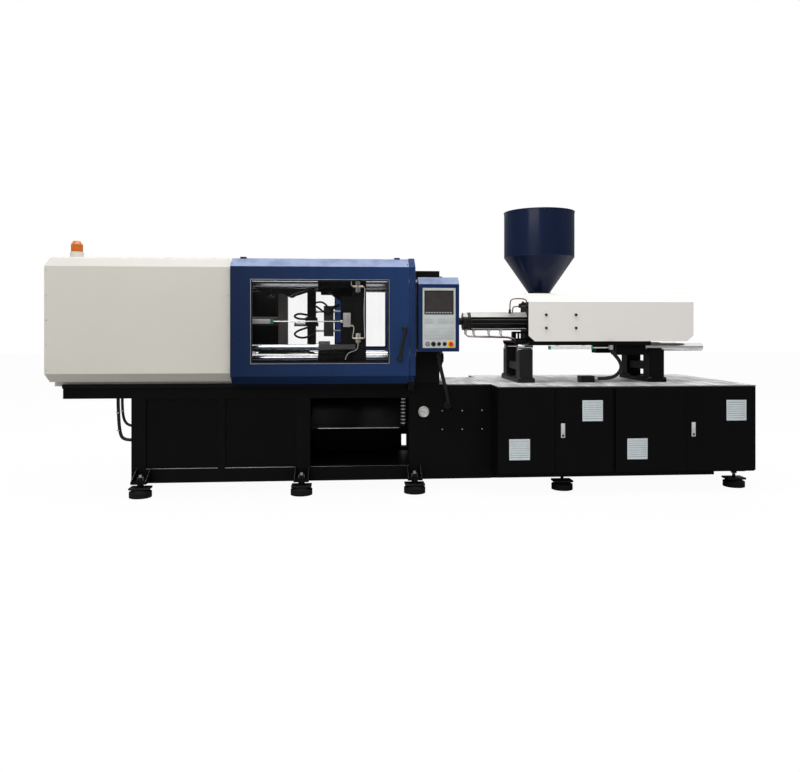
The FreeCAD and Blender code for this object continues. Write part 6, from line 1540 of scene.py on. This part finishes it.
@dataclass
class ControlStation:
    """Keys, screen marks, button rings, screws and conduit fittings of the operator's box."""

    face: float = -0.645
    screen: tuple[float, float, float, float] = (0.103, 0.307, 1.332, 1.497)
    fields: tuple[tuple[float, float, float, float], ...] = (
        (0.100, 0.166, 1.262, 1.312), (0.196, 0.312, 1.262, 1.312), (0.100, 0.312, 1.146, 1.246))
    key: tuple[float, float] = (0.0105, 0.0085)
    buttons: float = 1.113
    rings: tuple[tuple[float, float], ...] = (
        (0.121, 0.0125), (0.164, 0.0145), (0.205, 0.0115), (0.246, 0.0115))
    push_buttons: tuple[float, float] = (0.205, 0.246)
    stop_plate: tuple[float, float] = (0.267, 0.315)
    stop_half: float = 0.0245
    panel_screws: tuple[tuple[float, ...], tuple[float, ...]] = ((0.092, 0.320), (1.092, 1.30, 1.512))
    side_face: float = 0.354
    side_screws: tuple[tuple[float, ...], tuple[float, ...]] = ((-0.60, -0.47), (1.10, 1.50))

    def key_block(self, name: str, left: float, top: float, across: int, down: int,
                  pitch: tuple[float, float]) -> None:
        """A field of raised keys, one modelled and the rest copied.

        Args:
            name: the piece's name.
            left: centre of the first key.
            top: centre of the first row.
            across: keys in a row.
            down: rows.
            pitch: spacing across and down.
        """
        wide, tall = self.key
        first = BENCH.block((left - wide / 2, self.face - 0.0014, top - tall / 2),
                            (left + wide / 2, self.face + 0.0005, top + tall / 2), 0.0008)
        offsets = [(i * pitch[0], 0, -j * pitch[1]) for i in range(across) for j in range(down) if i or j]
        BENCH.hand_over(name, "base", KEY_GREY, copies(first, offsets))

    def keypad(self) -> None:
        """Printed fields and their keys below the screen."""
        fields = [BENCH.block((x0, self.face - 0.0006, z0), (x1, self.face + 0.0005, z1), 0.0004)
                  for x0, x1, z0, z1 in self.fields]
        BENCH.hand_over("key_fields", "base", KEY_FIELD, fields)
        self.key_block("arrow_keys", 0.112, 1.298, 3, 2, (0.021, 0.022))
        self.key_block("number_keys", 0.208, 1.298, 5, 2, (0.0225, 0.022))
        self.key_block("function_keys", 0.111, 1.232, 10, 4, (0.0212, 0.0235))

    def screen_marks(self) -> None:
        """A row of small marks under the screen and the bezel round it."""
        x0, x1, z0, z1 = self.screen
        y = self.face + 0.0004
        first = BENCH.block((x0 + 0.005, y, z0 + 0.004), (x0 + 0.018, y + 0.0008, z0 + 0.013), 0.0003)
        offsets = [(0.0197 * i, 0, 0) for i in range(1, 10)]
        BENCH.hand_over("screen_keys", "base", SCREEN_MARK, copies(first, offsets))
        bezel = BENCH.frame((x0 - 0.005, self.face - 0.001, z0 - 0.005),
                            (x1 + 0.005, self.face + 0.001, z1 + 0.005), 0.006, 0.0008)
        BENCH.hand_over("screen_bezel", "base", BLACK_PLASTIC, [bezel])

    def button_bezels(self) -> None:
        """Rings round the buttons and the yellow plate of the stop button."""
        z = self.buttons
        rings = [BENCH.ring((x, self.face - 0.001, z), Axis.Y, radius + 0.0012, 0.0016)
                 for x, radius in self.rings]
        BENCH.hand_over("button_rings", "base", BLACK_PLASTIC, rings)
        caps = [BENCH.rod((x, self.face + 0.001, z), TO_FRONT, 0.0082, 0.0106, 0.0015)
                for x in self.push_buttons]
        BENCH.hand_over("button_caps", "base", BLACK_PLASTIC, caps)
        left, right = self.stop_plate
        plate = BENCH.block((left, self.face - 0.0012, z - self.stop_half),
                            (right, self.face + 0.0005, z + self.stop_half), 0.001)
        BENCH.hand_over("stop_plate", "base", YELLOW, [plate])

    def box_screws(self) -> None:
        """Screws of the control panel and of the box's side plates."""
        columns, rows = self.panel_screws
        spots = [(x, self.face, z) for x in columns for z in rows]
        screws = bolt_field(spots, Axis.Y, Head.PANEL, Side.FRONT)
        BENCH.hand_over("panel_corner_screws", "base", ZINC, screws)
        columns, rows = self.side_screws
        spots = [(self.side_face, y, z) for y in columns for z in rows]
        BENCH.hand_over("box_side_screws", "base", ZINC, bolt_field(spots, Axis.X, Head.BOX))

    def conduit_fittings(self) -> None:
        """The gland under the box and the flared elbow at the frame."""
        start, end = Vector(BOX_CONDUIT.points[0]), Vector(BOX_CONDUIT.points[-1])
        gland = BENCH.rod(start, DOWN, 0.020, 0.021, 0.002, 6)
        cuff = BENCH.rod(start + DOWN * 0.017, DOWN, 0.030, 0.018, 0.002, 24)
        flare = BENCH.rod(end, TO_FRONT, 0.012, 0.030, 0.003, 32, 0.024)
        neck = BENCH.rod(end + TO_FRONT * 0.011, TO_FRONT, 0.026, 0.020, 0.002, 32, 0.018)
        BENCH.hand_over("conduit_fittings", "base", BLACK_PLASTIC, [gland, cuff, flare, neck])

    def build(self) -> None:
        """Make everything on the control box."""
        self.keypad()
        self.screen_marks()
        self.button_bezels()
        self.box_screws()
        self.conduit_fittings()


@dataclass
class Cabinets:
    """Grilles and latches of the cabinet doors."""

    front: float = -0.640
    half: float = 0.077
    rim: float = 0.009
    pitch: float = 0.0165
    louvres: int = 9
    vents: tuple[tuple[str, float, float], ...] = (
        ("cabinet_door_1", 0.800, 0.337), ("cabinet_door_2", 1.3475, 0.618),
        ("cabinet_door_3", 1.6875, 0.3325), ("cabinet_door_4", 2.450, 0.613))
    latches: tuple[tuple[str, float], ...] = (("cabinet_door_2", 1.1235), ("cabinet_door_4", 2.1165))
    latch_low: float = 0.417
    latch_high: float = 0.531

    def grilles(self) -> None:
        """A light frame with sloped louvres over each door's ventilation slots."""
        inner = self.half - self.rim
        for door, x, z in self.vents:
            y = self.front - 0.0025
            outer = BENCH.frame((x - self.half, y - 0.0014, z - self.half),
                                (x + self.half, y + 0.0014, z + self.half), self.rim, 0.0012)
            low = z - (self.louvres - 1) / 2 * self.pitch
            section = [(y + 0.0024, low - 0.0076), (y + 0.0024, low + 0.0076), (y + 0.0010, low + 0.0076),
                       (y - 0.0012, low - 0.0066)]
            blade = BENCH.drawn(section, Axis.X, x - inner - 0.001, x + inner + 0.001, 0.0004)
            blades = copies(blade, [(0, 0, self.pitch * number) for number in range(1, self.louvres)])
            BENCH.hand_over(door + "_grille", self.body_of(door), GRILLE, [outer, *blades])

    def latch_fittings(self) -> None:
        """The bright plate, lever and dark release dot of each latch."""
        y = self.front - 0.006
        low, high = self.latch_low, self.latch_high
        for door, x in self.latches:
            plate = BENCH.block((x - 0.0150, y - 0.0015, low + 0.004),
                                (x + 0.0150, y + 0.0005, high - 0.004), 0.001)
            lever = BENCH.block((x - 0.0105, y - 0.0080, low + 0.034),
                                (x + 0.0105, y - 0.0015, high - 0.009), 0.003)
            BENCH.hand_over(door + "_latch_lever", self.body_of(door), LATCH_SILVER, [plate, lever])
            dot = BENCH.rod((x, y - 0.0010, low + 0.020), TO_FRONT, 0.0035, 0.0085, 0.001, 24)
            BENCH.hand_over(door + "_latch_dot", self.body_of(door), LATCH_BLUE, [dot])

    @staticmethod
    def body_of(door: str) -> str:
        """The body of a cabinet door's node."""
        return door.removeprefix("cabinet_")

    def build(self) -> None:
        """Make the door fittings."""
        self.grilles()
        self.latch_fittings()


@dataclass
class InjectionUnit:
    """Fittings of the injection side: plugs, wires, pipes, knobs, stand bolts, hose ends and beads."""

    cover_face: float = 0.330
    knobs: tuple[tuple[Side, float, float], ...] = ((Side.FRONT, 1.085, 1.322), (Side.REAR, 1.180, 1.417))
    knob_levels: tuple[float, float] = (1.332, 1.229)
    connectors: tuple[float, ...] = (0.497, 0.562, 0.686, 0.784)
    collar_x: float = 0.527
    collar_radius: float = 0.0710
    plug_line: float = -0.058
    wires: tuple[tuple[str, Finish, float], ...] = (
        ("white", CERAMIC, 0.0), ("black", RUBBER, 0.006), ("red", RED_MARK, 0.012))
    wire_level: float = 1.171
    cap_ends: tuple[float, float] = (1.108, 1.445)
    cap_section: tuple[tuple[float, float], tuple[float, float]] = ((-0.3315, 1.0605), (-0.3025, 1.0895))
    stands: tuple[tuple[str, float, float], ...] = (("front", 0.884, 0.990), ("rear", 1.930, 2.050))
    stand_foot: float = 0.830
    foot_lines: tuple[float, float] = (0.2975, 0.130)
    hopper: float = 1.118
    beads: tuple[float, float] = (1.808, 2.166)
    bead_radius: float = 0.2815
    flange: tuple[float, float, float] = (1.502, 0.014, 0.096)
    flange_circle: float = 0.086

    def cover_knobs(self) -> None:
        """Four black knobs that hold each side of the cover."""
        for side, *across in self.knobs:
            out = Vector((0, side, 0))
            parts = []
            for spot in (Vector((x, side * self.cover_face, z)) for z in self.knob_levels for x in across):
                parts.append(BENCH.rod(spot, out, 0.004, 0.0085, 0.001, 24))
                parts.append(BENCH.rod(spot + out * 0.003, out, 0.012, 0.0115, 0.002, 10, 0.0100))
            BENCH.hand_over("cover_knobs_" + side.label, "carriage", BLACK_PLASTIC, parts)

    def heater_plugs(self) -> None:
        """The black collar of the nozzle end and the heater bands' plugs."""
        collar = BENCH.ring((self.collar_x, 0, LINE_HEIGHT), Axis.X, self.collar_radius, 0.003, 4.6)
        BENCH.hand_over("barrel_collar", "carriage", GUARD, [collar])
        shells, nuts = [], []
        for x in self.connectors:
            shells.append(BENCH.rod((x, self.plug_line, 1.207), DOWN, 0.029, 0.012, 0.002, 20, 0.010))
            nuts.append(BENCH.rod((x, self.plug_line, 1.216), DOWN, 0.010, 0.0135, 0.001, 6))
        BENCH.hand_over("heater_plugs", "carriage", CERAMIC, shells)
        BENCH.hand_over("heater_plug_nuts", "carriage", ZINC, nuts)

    def harness(self) -> None:
        """The loose wires that link the plugs and run to the carriage."""
        for label, finish, shift in self.wires:
            wires = []
            for number, x in enumerate(self.connectors):
                level = self.wire_level - shift - 0.0020 * number
                y = self.plug_line - 0.0025 * number - shift * 0.4
                run = [(x + shift - 0.006, self.plug_line, 1.180), (x + shift - 0.005, y, level),
                       (x + 0.040 + shift, y, level - 0.006), (0.840, y, level - 0.006),
                       (0.885, y, 1.148 - shift), (0.905, y + 0.010, 1.138 - shift)]
                wires.append(BENCH.tube(run, 0.0021))
            BENCH.hand_over("heater_wires_" + label, "carriage", finish, wires)

    def pipes(self) -> None:
        """Copper pipes of the barrel's feed end and the line below the barrel."""
        line = BENCH.tube([(0.545, -0.052, 1.224), (0.620, -0.054, 1.222), (0.800, -0.054, 1.222),
                           (0.930, -0.056, 1.224), (0.995, -0.058, 1.224)], 0.0040)
        BENCH.hand_over("thermocouple_line", "carriage", BEIGE, [line])
        tall = BENCH.tube([(0.852, -0.060, 1.352), (0.852, -0.100, 1.360), (0.852, -0.100, 1.420),
                           (0.860, -0.100, 1.463), (0.920, -0.100, 1.468), (0.985, -0.100, 1.463),
                           (0.994, -0.100, 1.420), (1.002, -0.100, 1.395)], 0.0050)
        short = BENCH.tube([(0.877, -0.050, 1.352), (0.877, -0.088, 1.358), (0.877, -0.090, 1.385),
                            (0.884, -0.090, 1.403), (0.940, -0.090, 1.404), (1.003, -0.090, 1.404)], 0.0050)
        BENCH.hand_over("copper_pipes", "carriage", COPPER, [tall, short])
        joints = [BENCH.rod((x, -0.096, z), Axis.Z, 0.034, 0.0105, 0.002, 6)
                  for x, z in ((0.934, 1.392), (0.960, 1.410), (0.852, 1.346))]
        joints.append(BENCH.rod((0.985, -0.096, 1.402), Axis.X, 0.020, 0.012, 0.001, 6))
        BENCH.hand_over("pipe_joints", "carriage", RUBBER, joints)

    def transducer_caps(self) -> None:
        """Green ends of the injection transducer."""
        low, high = self.cap_section
        caps = [BENCH.block((x, *low), (x + 0.016, *high), 0.003) for x in self.cap_ends]
        BENCH.hand_over("injection_transducer_caps", "carriage", GREEN, caps)

    def stand_details(self) -> None:
        """Foot bolts of the carriage's two stands."""
        for label, left, right in self.stands:
            z, (outer, inner) = self.stand_foot, self.foot_lines
            spots = [(x, side * outer, z) for x in (left, right) for side in Side]
            spots += [(x, side * inner, z) for x in (left + 0.004, right - 0.004) for side in Side]
            bolts = bolt_field(spots, Axis.Z, Head.FOOT)
            BENCH.hand_over(label + "_stand_bolts", "base", DARK_STEEL, bolts)

    def hose_fittings(self) -> None:
        """A crimped sleeve and a nut at each end of the carriage hose."""
        ends = (("hose_ends_upper", "carriage", CARRIAGE_HOSE.points[0], DOWN),
                ("hose_ends_lower", "base", CARRIAGE_HOSE.points[-1], Axis.X))
        for name, body, spot, way in ends:
            sleeve = BENCH.rod(spot, way, 0.034, 0.0175, 0.0015, 24)
            nut = BENCH.rod(spot, way, 0.013, 0.0205, 0.001, 6)
            BENCH.hand_over(name, body, ZINC, [sleeve, nut])

    def hopper_rings(self) -> None:
        """The seam beads of the hopper and its clamp ring."""
        x = self.hopper
        beads = [BENCH.ring((x, 0, z), Axis.Z, self.bead_radius, 0.004, 0.9) for z in self.beads]
        BENCH.hand_over("hopper_beads", "carriage", NAVY, beads)
        low, thick, radius = self.flange
        flange = BENCH.rod((x, 0, low), Axis.Z, thick, radius, 0.002, 40)
        circle = self.flange_circle
        turns = [math.radians(45 + 90 * number) for number in range(4)]
        spots = [(x + circle * math.cos(turn), circle * math.sin(turn), low + thick) for turn in turns]
        bolts = bolt_field(spots, Axis.Z, Head.PLATE)
        BENCH.hand_over("hopper_flange", "carriage", DARK_STEEL, [flange, *bolts])

    def build(self) -> None:
        """Make everything on the injection side."""
        self.cover_knobs()
        self.heater_plugs()
        self.harness()
        self.pipes()
        self.transducer_caps()
        self.stand_details()
        self.hose_fittings()
        self.hopper_rings()


@dataclass
class Beacon:
    """Clamp ring and ribs of the warning light on the covers."""

    spot: Point = (-2.440, -0.390, 1.783)
    radius: float = 0.040
    ribs: int = 18

    def build(self) -> None:
        """Make the clamp ring and the ribs of the dome."""
        x, y, z = self.spot
        ring = BENCH.ring((x, y, z), Axis.Z, self.radius + 0.003, 0.004)
        BENCH.hand_over("beacon_ring", "base", PALE, [ring])
        first = BENCH.rod((x + self.radius - 0.001, y, z + 0.004), Axis.Z, 0.050, 0.0018, 0, 8)
        there, back = Matrix.Translation((x, y, 0)), Matrix.Translation((-x, -y, 0))
        turns = [Matrix.Rotation(math.tau * number / self.ribs, 4, "Z") for number in range(1, self.ribs)]
        ribs = clones(first, [there @ turn @ back for turn in turns])
        BENCH.hand_over("beacon_ribs", "base", AMBER, ribs)


def dress_nodes(nodes: dict[str, bpy.types.Object]) -> None:
    """Give every construction node its finish.

    Args:
        nodes: the loaded nodes by name.
    """
    for finish, names in NODE_FINISH.items():
        for name in names:
            data = nodes[name].data
            data.materials.clear()
            data.materials.append(material_of(finish))
            LOG.info("%s: %s", name, finish.name)


def main() -> None:
    """Build the studio, dress the nodes and add every sub-assembly."""
    logging.basicConfig(level=logging.INFO, format="%(message)s")
    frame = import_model()
    Studio().build()
    Hoses().build()
    dress_nodes(frame["nodes"])
    for part in (ClampFrame(), Gates(), ClampCovers(), ClampUnit(), ControlStation(), Cabinets(),
                 InjectionUnit(), Beacon()):
        part.build()
    LOG.info("%d pieces added", len(BENCH.made))


if __name__ == "__main__":
    main()
